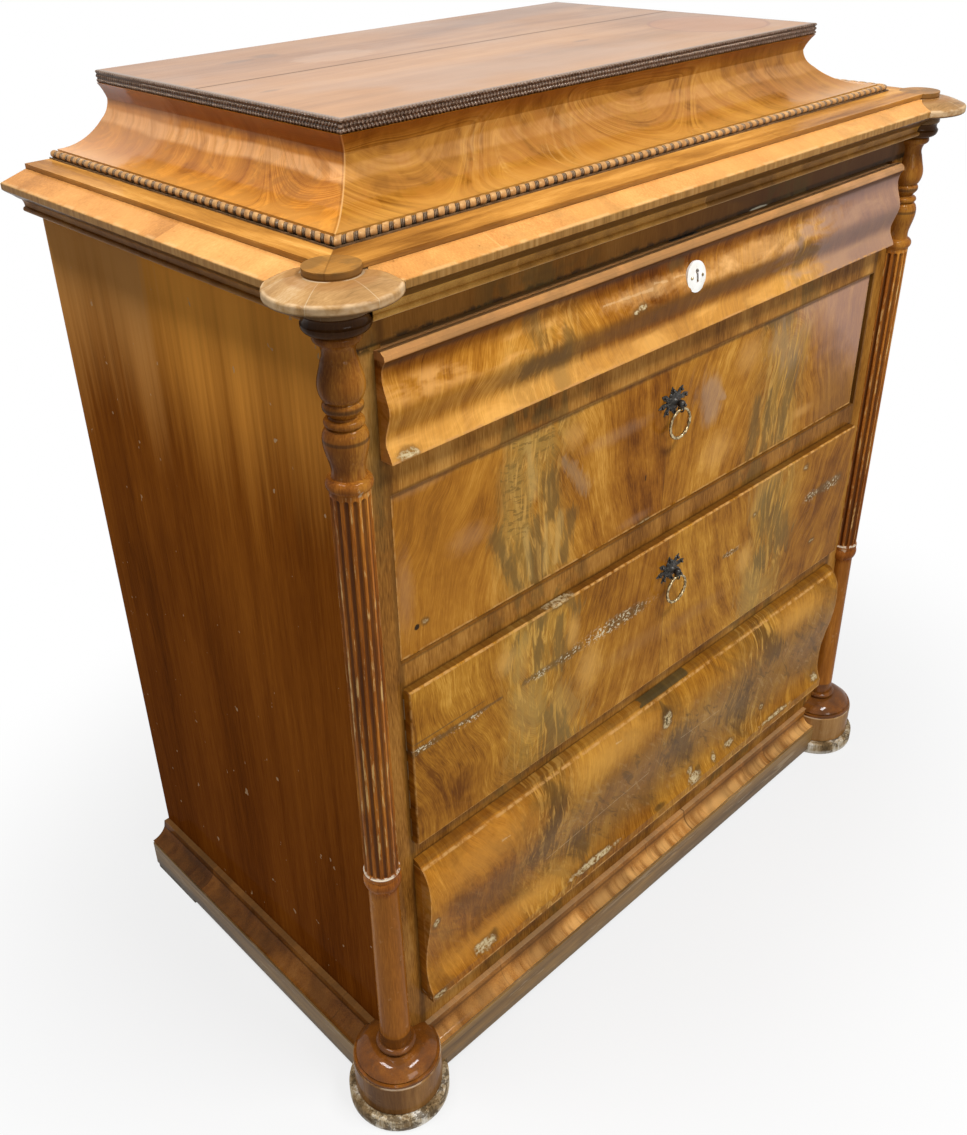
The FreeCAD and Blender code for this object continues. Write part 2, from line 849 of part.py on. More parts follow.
def drawer_4():
    half = opening_half - side_gap
    floor = opening_4
    rear = drawer_4_rear()
    bottom = floor + front_gap_below
    top = floor + opening_4_height - front_gap_above
    front = along_x(drawer_4_outline(top - bottom), front_y, bottom, -half, half)
    key_z = top - key_drop_4
    hardware, pocket = lock(4, rear, top, key_z)
    keyhole = key_shape(front_y - 60, rear - lock_depth + 0.1, key_z)
    parts = drawer(4, front, floor, opening_4_height, half, rear, front_lap, [pocket, keyhole])
    parts.update(hardware)
    return parts


# ---- ring pulls ----------------------------------------------------------------------------

def ring_pull(number, face, z):
    """A star-shaped plate with a ball and lug, and the ring that hangs in the lug's eye."""
    plate_y = face - rosette_thickness
    pieces = [cylinder(rosette_middle_radius, rosette_thickness, V(0, plate_y, z), Y_AXIS)]
    for index in range(rosette_arms):
        angle = math.radians(360 / rosette_arms * index)
        tip_x = rosette_half_width * math.cos(angle)
        tip_z = rosette_half_height * math.sin(angle)
        length = math.hypot(tip_x, tip_z)
        arm = Part.makeBox(length, rosette_thickness, rosette_arm_width,
                           V(0, 0, -rosette_arm_width / 2))
        arm.rotate(ORIGIN, Y_AXIS, -math.degrees(math.atan2(tip_z, tip_x)))
        arm.translate(V(0, plate_y, z))
        pieces.append(arm)
        pieces.append(cylinder(rosette_knob_radius, rosette_thickness,
                               V(tip_x, plate_y, z + tip_z), Y_AXIS))
    eye_y = face - pull_reach
    pieces.append(cylinder(post_radius, pull_reach, V(0, eye_y, z), Y_AXIS))
    pieces.append(Part.makeSphere(ball_radius, V(0, eye_y, z)))
    eye_z = z - eye_drop
    pieces.append(cylinder(lug_radius, 2 * lug_half_width, V(-lug_half_width, eye_y, eye_z), X_AXIS))
    eye = cylinder(eye_radius, 4 * ball_radius, V(-2 * ball_radius, eye_y, eye_z), X_AXIS)
    plate = cut_all(fuse_all(pieces), [eye])
    ring = Part.makeTorus(ring_radius, ring_wire, V(0, eye_y, eye_z - ring_radius), Y_AXIS)
    return {"ring_plate_%d" % number: plate, "ring_%d" % number: ring}


# ---- the whole chest -----------------------------------------------------------------------

def chest():
    parts = {}
    for group in (columns, feet, base, carcase, drawer_runs, cornice, raised_top, drawer_1,
                  drawer_2, drawer_3, drawer_4):
        parts.update(group())
    return parts


os.makedirs("parts", exist_ok=True)
for node, shape in chest().items():
    if not shape.isValid():
        raise ValueError("%s isn't a valid solid" % node)
    shape.exportStep("parts/%s.step" % node)
    print("%-18s %3d solids %10.1f cm3" % (node, len(shape.Solids), shape.Volume / 1000))
print("width %.1f, depth %.1f, height %.1f mm"
      % (2 * (column_x + foot_radius), overall_depth, overall_height))
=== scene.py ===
# %% [markdown]
# # A bachelors chest: the frame
# The chest comes as a fixed model whose pieces already have their real size and place. We load
# it and give every surface its finish. Only what is too fine for the model, such as carved
# beads, is made here as new mesh. Lengths are in metres, and small marks in millimetres.

# %% Load the frame
import math
from functools import cached_property

import bmesh
import bpy
from mathutils import Matrix, Vector


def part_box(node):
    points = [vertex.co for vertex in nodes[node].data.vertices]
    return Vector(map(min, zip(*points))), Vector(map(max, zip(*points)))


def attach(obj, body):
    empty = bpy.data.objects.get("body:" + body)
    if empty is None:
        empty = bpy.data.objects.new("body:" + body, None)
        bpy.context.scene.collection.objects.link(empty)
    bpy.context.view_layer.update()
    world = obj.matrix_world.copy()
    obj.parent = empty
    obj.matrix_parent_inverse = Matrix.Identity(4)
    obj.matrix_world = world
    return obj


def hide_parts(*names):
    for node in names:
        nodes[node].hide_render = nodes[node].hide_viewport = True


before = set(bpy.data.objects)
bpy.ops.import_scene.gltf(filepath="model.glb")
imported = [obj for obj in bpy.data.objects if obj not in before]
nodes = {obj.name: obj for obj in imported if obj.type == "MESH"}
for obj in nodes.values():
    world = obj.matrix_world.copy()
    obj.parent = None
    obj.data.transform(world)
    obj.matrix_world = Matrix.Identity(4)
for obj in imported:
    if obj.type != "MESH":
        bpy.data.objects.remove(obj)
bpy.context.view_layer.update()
scene = bpy.context.scene
print("loaded", len(nodes), "nodes")

# %% [markdown]
# ## The camera
# The chest is seen from its front left corner, from above. The camera's place and turn are
# written as real lengths and angles, and its lens as the usual millimetres. A small shift
# places the chest off the middle of the picture.

# %% Camera
camera_place = Vector((-1.0357, -0.9799, 1.3756))
camera_turn = 0.738
camera_down = 0.5307
camera_roll = -0.0332

forward = Vector((math.sin(camera_turn) * math.cos(camera_down),
                  math.cos(camera_turn) * math.cos(camera_down),
                  -math.sin(camera_down)))
level = forward.cross(Vector((0, 0, 1))).normalized()
upward = level.cross(forward)
right = level * math.cos(camera_roll) + upward * math.sin(camera_roll)
top = upward * math.cos(camera_roll) - level * math.sin(camera_roll)
camera_data = bpy.data.cameras.new("camera")
camera_data.sensor_width = 36
camera_data.lens = 36.24
camera_data.shift_x = 0.0279
camera_data.shift_y = -0.0382
camera_data.clip_start = 0.05
camera = bpy.data.objects.new("camera", camera_data)
turn = Matrix((right, top, -forward)).transposed().to_4x4()
camera.matrix_world = Matrix.Translation(camera_place) @ turn
scene.collection.objects.link(camera)
scene.camera = camera
print("camera stands at", tuple(round(value, 3) for value in camera_place))

# %% [markdown]
# ## Shader maths
# A finish is a network of nodes. Written by hand, networks become long, so small classes help:
# `Wire` is one socket that can be added, multiplied and compared like a number, `Network` adds
# a node from its type, settings and inputs, and `Finish` is the network of one material. Its
# x, y and z are the place on the chest in metres, so every pattern has its real size. Its
# colour is built in layers: `paint` lays a tint over it where a mask says, and `darken`
# multiplies it by one. `spots` and `strokes` are masks of ovals and lines on the fronts.


# %% Shader helpers
front_plane = -0.25


class Wire:
    """A shader value that adds Math nodes when it is used in a sum."""

    def __init__(self, network, socket):
        self.network = network
        self.socket = socket

    def math(self, operation, *others):
        return self.network.math(operation, self, *others)

    def __add__(self, other):
        return self.math("ADD", other)

    def __sub__(self, other):
        return self.math("SUBTRACT", other)

    def __mul__(self, other):
        return self.math("MULTIPLY", other)

    def __truediv__(self, other):
        return self.math("DIVIDE", other)

    def __rsub__(self, other):
        return self.network.math("SUBTRACT", other, self)

    def __rtruediv__(self, other):
        return self.network.math("DIVIDE", other, self)

    __radd__ = __add__
    __rmul__ = __mul__

    def abs(self):
        return self.math("ABSOLUTE")

    def larger(self, other):
        return self.math("MAXIMUM", other)


def largest(masks):
    """The largest of several masks at each place."""
    most, *others = masks
    for other in others:
        most = most.larger(other)
    return most


def step(value, low, high):
    """0 below low, 1 above high, and smooth between them."""
    return value.network.add("ShaderNodeMapRange", {"interpolation_type": "SMOOTHSTEP"},
                             {"Value": value, "From Min": low, "From Max": high})


def band(value, centre, width, soft):
    """1 within a width about centre, falling to 0 over a soft edge."""
    return 1 - step((value - centre).abs(), width / 2, width / 2 + soft)


class Network:
    """A tree of shader nodes, built node by node."""

    def __init__(self, tree):
        self.tree = tree
        tree.nodes.clear()

    def add(self, kind, settings=None, inputs=None, out=0):
        node = self.tree.nodes.new(kind)
        for name, value in (settings or {}).items():
            if name == "stops":
                self.set_stops(node.color_ramp, value)
            else:
                setattr(node, name, value)
        for name, value in (inputs or {}).items():
            self.feed(node.inputs[name], value)
        return Wire(self, node.outputs[out])

    def feed(self, socket, value):
        if isinstance(value, Wire):
            self.tree.links.new(value.socket, socket)
        elif isinstance(value, (tuple, list)) and socket.type == "RGBA":
            socket.default_value = (*value[:3], 1)
        else:
            socket.default_value = value

    def set_stops(self, ramp, stops):
        while len(ramp.elements) > 1:
            ramp.elements.remove(ramp.elements[-1])
        ramp.elements[0].position = stops[0][0]
        ramp.elements[0].color = (*stops[0][1], 1)
        for position, colour in stops[1:]:
            ramp.elements.new(position).color = (*colour, 1)

    def math(self, operation, *values):
        return self.add("ShaderNodeMath", {"operation": operation}, dict(enumerate(values)))

    def vector(self, operation, *values, out=0):
        return self.add("ShaderNodeVectorMath", {"operation": operation},
                        dict(enumerate(values)), out)

    def parts(self, vector):
        """The three numbers of a vector."""
        node = self.add("ShaderNodeSeparateXYZ", inputs={"Vector": vector}).socket.node
        return [Wire(self, node.outputs[axis]) for axis in "XYZ"]

    def join(self, x, y, z):
        return self.add("ShaderNodeCombineXYZ", inputs={"X": x, "Y": y, "Z": z})

    def length(self, x, y, z=0.0):
        return self.vector("LENGTH", self.join(x, y, z), out="Value")

    def noise(self, sides, detail=3.0, roughness=0.5, distortion=0.0, at=None):
        """A noise whose place is multiplied by one number or three: a larger one is finer."""
        sides = sides if isinstance(sides, tuple) else (sides, sides, sides)
        return self.add("ShaderNodeTexNoise", inputs={
            "Vector": self.vector("MULTIPLY", at or self.place, sides), "Scale": 1.0,
            "Detail": detail, "Roughness": roughness, "Distortion": distortion})

    def ramp(self, value, stops):
        return self.add("ShaderNodeValToRGB", {"stops": stops}, {"Fac": value})

    def blend(self, amount, below, above, how="MIX"):
        return self.add("ShaderNodeMix", {"data_type": "RGBA", "blend_type": how},
                        {"Factor": amount, "A": below, "B": above}, out=2)

    def shift(self, seed):
        """The place moved away, so that the same noise gives another piece of wood."""
        return self.vector("ADD", self.place, (seed, seed * 0.7, seed * 1.3))


class Finish(Network):
    """The network of one material."""

    def __init__(self, name):
        self.material = bpy.data.materials.new(name)
        self.material.use_nodes = True
        super().__init__(self.material.node_tree)
        self.place = self.add("ShaderNodeTexCoord", out="Object")
        self.x, self.y, self.z = self.parts(self.place)
        self.colour = None

    def paint(self, amount, tint, how="MIX"):
        """Lays a tint over the colour so far, where an amount from 0 to 1 says."""
        self.colour = self.blend(amount, self.colour, tint, how)

    def darken(self, amount, tint):
        """Multiplies the colour so far by a tint."""
        self.paint(amount, tint, "MULTIPLY")

    @cached_property
    def ragged(self):
        """A fine noise about 0 that makes an edge uneven."""
        return self.noise(110, 4.0, 0.65) - 0.5

    def oval(self, mark, soft, rough):
        """1 in an oval on the front, in millimetres: x, z, half width and half height."""
        right, up, wide, tall = [value / 1000 for value in mark]
        off = self.vector("SUBTRACT", self.place, (right, front_plane, up))
        reach = self.vector("DIVIDE", off, (wide, 1.0, tall))
        far = self.vector("LENGTH", reach, out="Value") + self.ragged * rough
        return 1 - step(far, 1 - soft, 1 + soft)

    def spots(self, marks, soft=0.5, rough=1.2):
        """1 in each of several ovals, with uneven edges."""
        return largest(self.oval(mark, soft, rough) for mark in marks)

    def stroke(self, line, torn, soft, rough):
        """1 along a stroke, in millimetres: x, z, x, z, then its first and last half width."""
        x0, z0, x1, z1, first, last = [value / 1000 for value in line]
        length = math.hypot(x1 - x0, z1 - z0)
        right = self.x - x0
        up = self.z - z0
        along = right * ((x1 - x0) / length) + up * ((z1 - z0) / length)
        off = right * ((z1 - z0) / length) - up * ((x1 - x0) / length)
        beyond = (along.abs() + (along - length).abs() - length) * 0.5
        half = (along * ((last - first) / length) + first).larger(min(first, last))
        far = (off * off + beyond * beyond).math("SQRT") / half + torn * rough
        return 1 - step(far, 1 - soft, 1 + soft)

    def strokes(self, lines, torn, soft=0.7, rough=4.5):
        """1 along several strokes: torn is a noise about 0 that frays their edges."""
        return largest(self.stroke(line, torn, soft, rough) for line in lines)

    def bump(self, height, distance, strength=1.0):
        return self.add("ShaderNodeBump", inputs={
            "Height": height, "Strength": strength, "Distance": distance})

    def done(self, roughness, **others):
        """Ends the material: others are further sockets of the Principled shader."""
        inputs = {"Base Color": self.colour, "Roughness": roughness}
        inputs.update({name.replace("_", " "): value for name, value in others.items()})
        surface = self.add("ShaderNodeBsdfPrincipled", inputs=inputs)
        end = self.tree.nodes.new("ShaderNodeOutputMaterial")
        self.tree.links.new(surface.socket, end.inputs["Surface"])
        return self.material


def start(name):
    """A new finish, and its place as three wires."""
    finish = Finish(name)
    return finish, finish.x, finish.y, finish.z


def dress(material, *names):
    """Gives frame nodes their finish."""
    for name in names:
        mesh = nodes[name].data
        mesh.materials.clear()
        mesh.materials.append(material)


# %% [markdown]
# ## French polish
# Every show surface of the chest is walnut under French polish: thin coats of shellac, rubbed
# until they shine. Underneath, the wood has pores that the polish doesn't quite fill. So each
# finish ends the same way: a fine bump from the pores and slow waves of the old ground, a soft
# warm reflection from the wood, and a thin clear coat with crisp reflections above it.

# %% Polish
polish_tint = (1.0, 0.66, 0.38)
coat_gloss = 0.07
uneven_gloss = 0.16
dull_gloss = 0.3
pore_depth = 0.00022
wave_height = 6.0
dull_depth = 1.2


def polish(finish, height, wear=0.0, shine=0.06, gloss=0.3, level=0.015):
    """Ends a polished finish: height is a wire from 0 to 1, and wear is where it is dull."""
    waves = finish.noise(9, 2.0)
    roughness = gloss + (waves - 0.5) * uneven_gloss + wear * dull_gloss
    relief = height + waves * wave_height - wear * dull_depth
    normal = finish.bump(relief, pore_depth, 0.5)
    return finish.done(roughness, Normal=normal, Coat_Weight=shine * (1.0 - wear),
                       Coat_Roughness=coat_gloss, Specular_IOR_Level=level,
                       Specular_Tint=(*polish_tint, 1))


# %% [markdown]
# ## Plain walnut
# Straight walnut shows fine pores along the grain, broader stripes and slow clouds. Three
# noises, each drawn out along the grain, give these, and a colour ramp turns their sum into
# wood. Mouldings run round three sides of the chest, so their pattern needs a place along the
# run and a place outwards: both swap over at the mitres.


# %% Plain walnut
tone_places = (0.22, 0.42, 0.6, 0.8)
side_offset = 2.0


def grain(finish, at, fine=700, line=60, cloud=7, length=3.0):
    """Pores, stripes and clouds for a grain along the third part of a place."""
    pores = finish.noise((fine, fine, 14 * length), 2.0, 0.6, at=at)
    stripes = finish.noise((line, line, length), 4.0, 0.6, 0.4, at=at)
    clouds = finish.noise((cloud, cloud, 0.7 * length), 3.0, 0.5, 0.8, at=at)
    return pores, stripes, clouds


def stain(finish, noises, tones, weights, middle=0.5):
    """Turns pores, stripes and clouds into the first colour: tones run from dark to light."""
    mix = middle
    for noise, weight in zip(noises, weights):
        mix = mix + (noise - 0.5) * weight
    finish.colour = finish.ramp(mix, list(zip(tone_places, tones)))


def round_three_sides(finish, corner=0.25):
    """The place along a moulding's run, its place outwards, and 1 on the chest's sides."""
    beyond = finish.x.abs() + finish.y - corner
    side = step(beyond, -0.0004, 0.0004)
    run = finish.x * (1 - side) + (finish.y + side_offset) * side
    outwards = finish.x.abs() * side - finish.y * (1 - side)
    mitre = band(beyond, 0.0, 0.0008, 0.001)
    return run, outwards, side, mitre


dark_brown = (0.095, 0.036, 0.007)
red_brown = (0.2, 0.072, 0.013)
olive = (0.115, 0.072, 0.02)
# A near-black used for real dirt in cracks, holes and grooves, and for painted shade in gaps.
grime_and_shade = (0.035, 0.02, 0.009)
chalk = (0.6, 0.53, 0.37)

# %% [markdown]
# ## The drawer fronts
# The fronts are faced with crotch walnut, cut where the trunk forks. Two sheets from the same
# fork are opened like a book, so the figure mirrors about an upright joint near the middle. In
# each leaf, slanting lines climb towards a dark streak. We fold x at the joint, measure the
# distance from the streak, and lean the lines towards it before the noises are read.

# %% Figured fronts
joint_place = -0.007
streak_place = 0.235
lean_reach = 0.06
worn = (0.56, 0.3, 0.095)
streak_brown = (0.125, 0.078, 0.024)
glow = (0.68, 0.38, 0.1)


def crotch_figure(finish, middle, seed, rise, strength=1.0):
    """Colours a front, and returns its pores and a noise that frays streaks. Its lines climb
    towards the dark streak where rise is above 0, and fall towards it where it is below 0."""
    side = finish.x - joint_place
    leaf = side.abs()
    wander = finish.noise((5.5, 2, 4.5), 2.0, at=finish.shift(seed + 3)) - 0.5
    from_streak = leaf - streak_place + wander * 0.09
    distance = from_streak.abs()
    lean = lean_reach / (distance + lean_reach)
    across = distance + (finish.z - middle) * lean * rise + wander * 0.04
    at = finish.join(across + seed, finish.y * 0.4 + finish.x * 0.55, finish.z + seed * 0.7)
    pores = finish.noise((760, 60, 60), 2.0, 0.7, at=at)
    stripes = finish.noise((150, 12, 6), 3.0, 0.6, at=at)
    bands = finish.noise((54, 7, 5), 3.0, 0.62, 0.4, at=at)
    clouds = finish.noise((11, 4, 6), 4.0, 0.6, 0.3, at=at)
    mottle = finish.noise((50, 20, 34), 4.0, 0.68, 0.4, at=finish.shift(seed + 2)) - 0.5
    broad = finish.noise((6, 2, 9), 3.0, 0.55, 0.4, at=finish.shift(seed)) - 0.5
    tone = clouds + broad * 0.85 + mottle * 0.46
    tones = [(0.16, 0.054, 0.005), (0.31, 0.122, 0.011), (0.44, 0.198, 0.021), (0.62, 0.325, 0.056)]
    stain(finish, (pores, stripes, bands, tone), tones, (0.62, 0.48, 0.42, 0.75), middle=0.472)
    flame = band(from_streak, 0.0, 0.05, 0.055)
    upright = finish.join(leaf + wander * 0.08 + seed, finish.x * 0.5, finish.z + wander * 0.1)
    tongues = finish.noise((44, 6, 13), 4.0, 0.7, 0.7, at=upright)
    slivers = finish.noise((130, 8, 22), 3.0, 0.65, 1.0, at=upright)
    halo = flame * step(tongues, 0.32, 0.56)
    shade = flame * step(tongues + broad * 0.4, 0.5, 0.66)
    finish.paint(halo * 0.66 * strength, (0.38, 0.228, 0.046))
    finish.paint(shade * 0.5 * strength, olive)
    finish.paint(flame * step(slivers, 0.5, 0.64) * 0.6, (0.64, 0.37, 0.085))
    left = 1 - step(side, -0.0008, 0.0008)
    near_joint = left * step(side, -0.17, -0.04)
    finish.darken(near_joint * 0.75, (0.74, 0.64, 0.54))
    finish.paint(band(side, 0.0, 0.0006, 0.0009) * 0.45, dark_brown)
    return pores, slivers - 0.5


def edge_wear(finish, low, high, half, face, top=0.8, bottom=0.5, dull=0.75):
    """Bright, broken lines where dusters have rubbed the edges, and painted shade on the flat top
    behind the face, which sits in the gap under the rail: dull says how dark that is.
    """
    breaks = step(finish.noise(90, 4.0, 0.65), 0.36, 0.62)
    upper = band(finish.z, high, 0.0012, 0.0016) * top
    lower = band(finish.z, low, 0.001, 0.0016) * bottom
    ends = band(finish.x.abs(), half, 0.0012, 0.0014) * 0.5
    behind = step(finish.y, face + 0.0012, face + 0.003)
    # Painted shade: the flat top behind the face lies in the gap under the rail, so it is darkened.
    flat_top = behind * step(finish.z, high + 0.0002, high + 0.0006)
    finish.paint(flat_top * dull, dark_brown)
    lines = upper.larger(lower).larger(ends * (1 - behind))
    finish.paint(lines * breaks * (1 - flat_top), worn)


def chip(finish, centres, strength=0.9):
    """Chips down to the pale ground, each with a dark broken rim. Returns their mask."""
    rim = finish.spots([(x, z, wide + 3, tall + 3) for x, z, wide, tall in centres], soft=0.4)
    flakes = finish.noise((230, 150, 260), 3.0, 0.7)
    chips = finish.spots(centres, soft=0.35, rough=2.6) * step(flakes, 0.36, 0.48)
    finish.paint(rim * 0.6, (0.11, 0.055, 0.016))
    tint = finish.ramp(flakes, [(0.42, (0.36, 0.25, 0.11)), (0.6, (0.66, 0.54, 0.32))])
    finish.paint(chips * strength, tint)
    return chips


def smudge(finish, centres, tint, strength, soft=0.8):
    """Soft ovals of another tint."""
    finish.paint(finish.spots(centres, soft=soft) * strength, tint)


# %% Drawer 1: the swept front
finish, x, y, z = start("swept_front_walnut")
pores, torn = crotch_figure(finish, middle=0.94, seed=1.7, rise=0.9, strength=0.4)
height = z + (finish.noise((6, 2, 6), 2.0) - 0.5) * 0.006
patches = step(finish.noise((11, 3, 30), 4.0, 0.6, 0.5), 0.42, 0.62)
to_right = step(x + (patches - 0.5) * 0.1, 0.16, 0.32)
# Painted light: a golden band in the upper hollow, with bright spots as painted highlights.
hollow = band(height, 0.962, 0.01, 0.014)
finish.paint(hollow * patches * 0.62, (0.76, 0.43, 0.13))
bright = finish.spots([(118, 963, 100, 12), (-85, 967, 58, 7)], soft=0.9, rough=2.4)
finish.paint(bright * (0.4 + patches * 0.4), (0.8, 0.5, 0.19))
# Painted shade under the lip.
under_lip = step(height, 0.97, 0.984)
finish.darken(under_lip * 0.85, (0.5, 0.4, 0.28))
# Painted shade: a dark band on the underside of the belly.
belly = band(height, 0.937, 0.012, 0.012) * (1 - to_right * 0.5)
belly = belly * (0.3 + 0.7 * step(x, -0.36, -0.24))
finish.paint(belly * (0.6 + patches * 0.2), (0.15, 0.068, 0.011))
blots = finish.strokes([
    (-258, 986, -252, 958, 10, 8), (-272, 934, -216, 930, 10, 14), (-214, 952, -218, 906, 8, 10),
    (212, 955, 216, 906, 10, 7), (232, 936, 285, 930, 9, 5), (-40, 984, -22, 982, 6, 6)], torn)
finish.paint(blots * 0.6, streak_brown)
# Painted light on the bottom flare.
flare = 1 - step(height, 0.912, 0.924)
finish.paint(flare * (0.34 + patches * 0.36), (0.82, 0.47, 0.12))
# Painted reflection: a pinkish-grey haze over the right part of the front.
finish.paint(to_right * 0.72, (0.27, 0.195, 0.172))
# Painted light on the lip face, which is darker in patches along it.
lip_face = step(z, 0.995, 0.9962)
finish.paint(lip_face * 0.6, (0.66, 0.37, 0.14))
finish.paint(lip_face * (1 - patches) * 0.5, (0.24, 0.145, 0.06))
# Painted shade in the undercut below the lip.
undercut = band(z, 0.9925, 0.0022, 0.005)
finish.paint(undercut * 0.75, dark_brown)
edge_wear(finish, low=0.8972, high=1.004, half=0.4518, face=-0.2505, top=0.3, bottom=0.9)
# Painted shadow on the lip's top, under the frieze.
lip_top = step(z, 1.004, 1.0046)
finish.paint(lip_top * 0.8, grime_and_shade)
scratches = finish.strokes([
    (-155, 968, -75, 966, 0.8, 1.2), (-70, 971, -48, 968, 1, 1), (-36, 969, -16, 968, 1, 0.6)],
    finish.ragged, soft=0.6, rough=5.0)
finish.paint(scratches * 0.36, (0.7, 0.52, 0.27))
finish.darken(1.0, (0.98, 0.89, 0.88))
chips = chip(finish, [(-432, 900.5, 12, 3.5), (-106, 949, 3.5, 2), (-96, 952, 6, 2.4)])
dress(polish(finish, pores, chips), "drawer_1_front")

# %% Drawer 2: the flat front
finish, x, y, z = start("flat_front_walnut")
pores, torn = crotch_figure(finish, middle=0.755, seed=0.4, rise=0.9, strength=0.9)
blurred = finish.noise((13, 4, 10), 4.0, 0.65, 0.6, at=finish.shift(2.2))
golden_left = 1 - step(x + (blurred - 0.5) * 0.1, -0.34, -0.27)
finish.paint(golden_left * 0.34, (0.42, 0.175, 0.02))
spine = finish.strokes([
    (-250, 842, -243, 775, 4, 7), (-254, 735, -246, 668, 4, 3), (-222, 738, -222, 670, 3, 5),
    (-198, 728, -204, 672, 7, 4)], torn)
finish.paint(spine * 0.42, (0.62, 0.42, 0.13))
fingers = finish.strokes([
    (-302, 748, -264, 664, 10, 6), (-237, 738, -233, 652, 8, 12), (-178, 722, -190, 672, 10, 8),
    (-216, 780, -213, 738, 12, 10), (187, 735, 184, 668, 12, 11), (216, 748, 216, 662, 6, 8),
    (266, 770, 250, 668, 14, 12), (190, 852, 240, 846, 9, 12)], torn)
finish.paint(fingers * 0.66, streak_brown)
waves = finish.noise((52, 4, 210), 3.0, 0.55, 1.0, at=finish.join(x, 1.3,
                                                                  z + x * 0.12 + torn * 0.004))
rippled = finish.strokes([(-278, 815, -266, 752, 14, 18), (-268, 848, -225, 832, 8, 12)], torn)
finish.paint(rippled * 0.45, (0.38, 0.24, 0.055))
finish.paint(rippled * step(waves, 0.5, 0.6) * 0.58, (0.13, 0.075, 0.018))
grey_green = finish.strokes([(-194, 798, -158, 752, 6, 9), (225, 815, 262, 790, 20, 24)], torn)
finish.paint(grey_green * 0.34, (0.42, 0.3, 0.16))
smudge(finish, [
    (-175, 823, 15, 13), (156, 818, 22, 20), (103, 702, 28, 22), (303, 690, 22, 7)], glow, 0.42)
# Grey bloom patches, and one painted sheen: the long low oval at x -102 mm.
smudge(finish, [
    (-430, 735, 10, 40), (-338, 762, 24, 13), (-405, 850, 30, 6), (-102, 797, 50, 8),
    (-62, 668, 24, 6)], (0.46, 0.31, 0.19), 0.17)
grey_patch = finish.strokes([
    (76, 796, 82, 768, 16, 18), (90, 786, 110, 774, 14, 3)], torn, soft=0.5, rough=1.2)
finish.paint(grey_patch * 0.42, (0.4, 0.3, 0.2))
# Painted reflection: a pinkish-grey haze over the upper right of the front.
painted_haze = step(x * 0.8 + z + (blurred - 0.5) * 0.12, 1.0, 1.12)
finish.paint(painted_haze * 0.55, (0.45, 0.305, 0.245))
finish.darken(1.0, (0.97, 0.93, 0.98))
low_right = step(x, 0.3, 0.38) * (1 - painted_haze)
finish.paint(low_right * 0.5, (0.24, 0.115, 0.035))
# Painted shadow of the upper rail along the top of the recessed front.
finish.paint(step(z + torn * 0.01, 0.845, 0.853) * 0.5, (0.2, 0.1, 0.04))
edge_wear(finish, low=0.658, high=0.8535, half=0.4398, face=-0.2401, top=0.35, bottom=1.0)
holes = finish.spots([(-416, 688, 3.5, 3.5), (-44, 719, 1.2, 4)], soft=0.25)
chips = chip(finish, [(-41, 657.5, 12, 1.6), (-405, 690, 3.5, 2)], strength=0.5)
finish.paint(holes, grime_and_shade)
dress(polish(finish, pores, chips), "drawer_2_front")

# %% Drawer 3: the scarred front
finish, x, y, z = start("scarred_front_walnut")
pores, torn = crotch_figure(finish, middle=0.515, seed=2.9, rise=-0.95, strength=0.7)
finish.darken(step(x, 0.05, 0.4) * 0.8, (0.8, 0.74, 0.66))
low_left = step(z * -1.0 - x * 0.4 + torn * 0.05, -0.345, -0.285)
finish.darken(low_left * 0.45, (0.62, 0.5, 0.42))
pale_olive = finish.strokes([
    (-272, 518, -262, 488, 20, 24), (-205, 478, -196, 455, 20, 26), (196, 472, 204, 440, 26, 34),
    (-272, 600, -276, 560, 10, 12), (200, 606, 190, 585, 20, 14)], torn)
finish.paint(pale_olive * 0.3, (0.44, 0.3, 0.1))
fingers = finish.strokes([
    (-245, 624, -246, 548, 10, 6), (-212, 604, -210, 552, 5, 12), (-196, 626, -180, 600, 6, 9),
    (-283, 614, -296, 575, 4, 5), (-224, 465, -213, 422, 12, 26), (216, 592, 228, 548, 15, 18),
    (244, 560, 270, 505, 16, 22), (216, 494, 221, 478, 12, 14)], torn, soft=0.8, rough=6.0)
finish.paint(fingers * 0.62, (0.14, 0.088, 0.028))
smudge(finish, [
    (-155, 500, 20, 30), (-186, 571, 10, 20), (-300, 588, 14, 16), (176, 512, 16, 20)], glow, 0.5)
smudge(finish, [(-60, 486, 60, 12), (60, 475, 70, 10)], (0.3, 0.14, 0.045), 0.35)
old_glue = finish.strokes([
    (-443, 541, -308, 541, 4.6, 1.8), (-443, 552, -335, 552, 1.2, 0.6),
    (-270, 541, -175, 541, 4, 6), (-115, 545, -52, 543, 9, 6), (330, 546, 412, 547, 5, 9),
    (124, 537, 154, 536, 3, 3)], finish.ragged, soft=0.6, rough=2.4)
finish.paint(old_glue * 0.66, (0.12, 0.068, 0.024))
pit_place = finish.spots([
    (-427, 541, 18, 4), (-362, 538, 24, 4), (-245, 540, 16, 5), (-190, 541, 20, 6),
    (-110, 543, 62, 9), (139, 537, 16, 4), (340, 546, 16, 7), (396, 545, 18, 8)], soft=0.6)
pits = step(finish.noise((250, 60, 300), 3.0, 0.7), 0.54, 0.59) * pit_place
finish.paint(pits * 0.9, (0.7, 0.62, 0.42))
edge_wear(finish, low=0.4058, high=0.6228, half=0.4426, face=-0.2545, top=0.95)
chips = chip(finish, [
    (-210, 623.6, 18, 2.2), (314, 603, 5, 3), (190, 576, 2.5, 2), (360, 460, 6, 1.5)],
    strength=0.55)
dress(polish(finish, pores, chips.larger(pits)), "drawer_3_front")

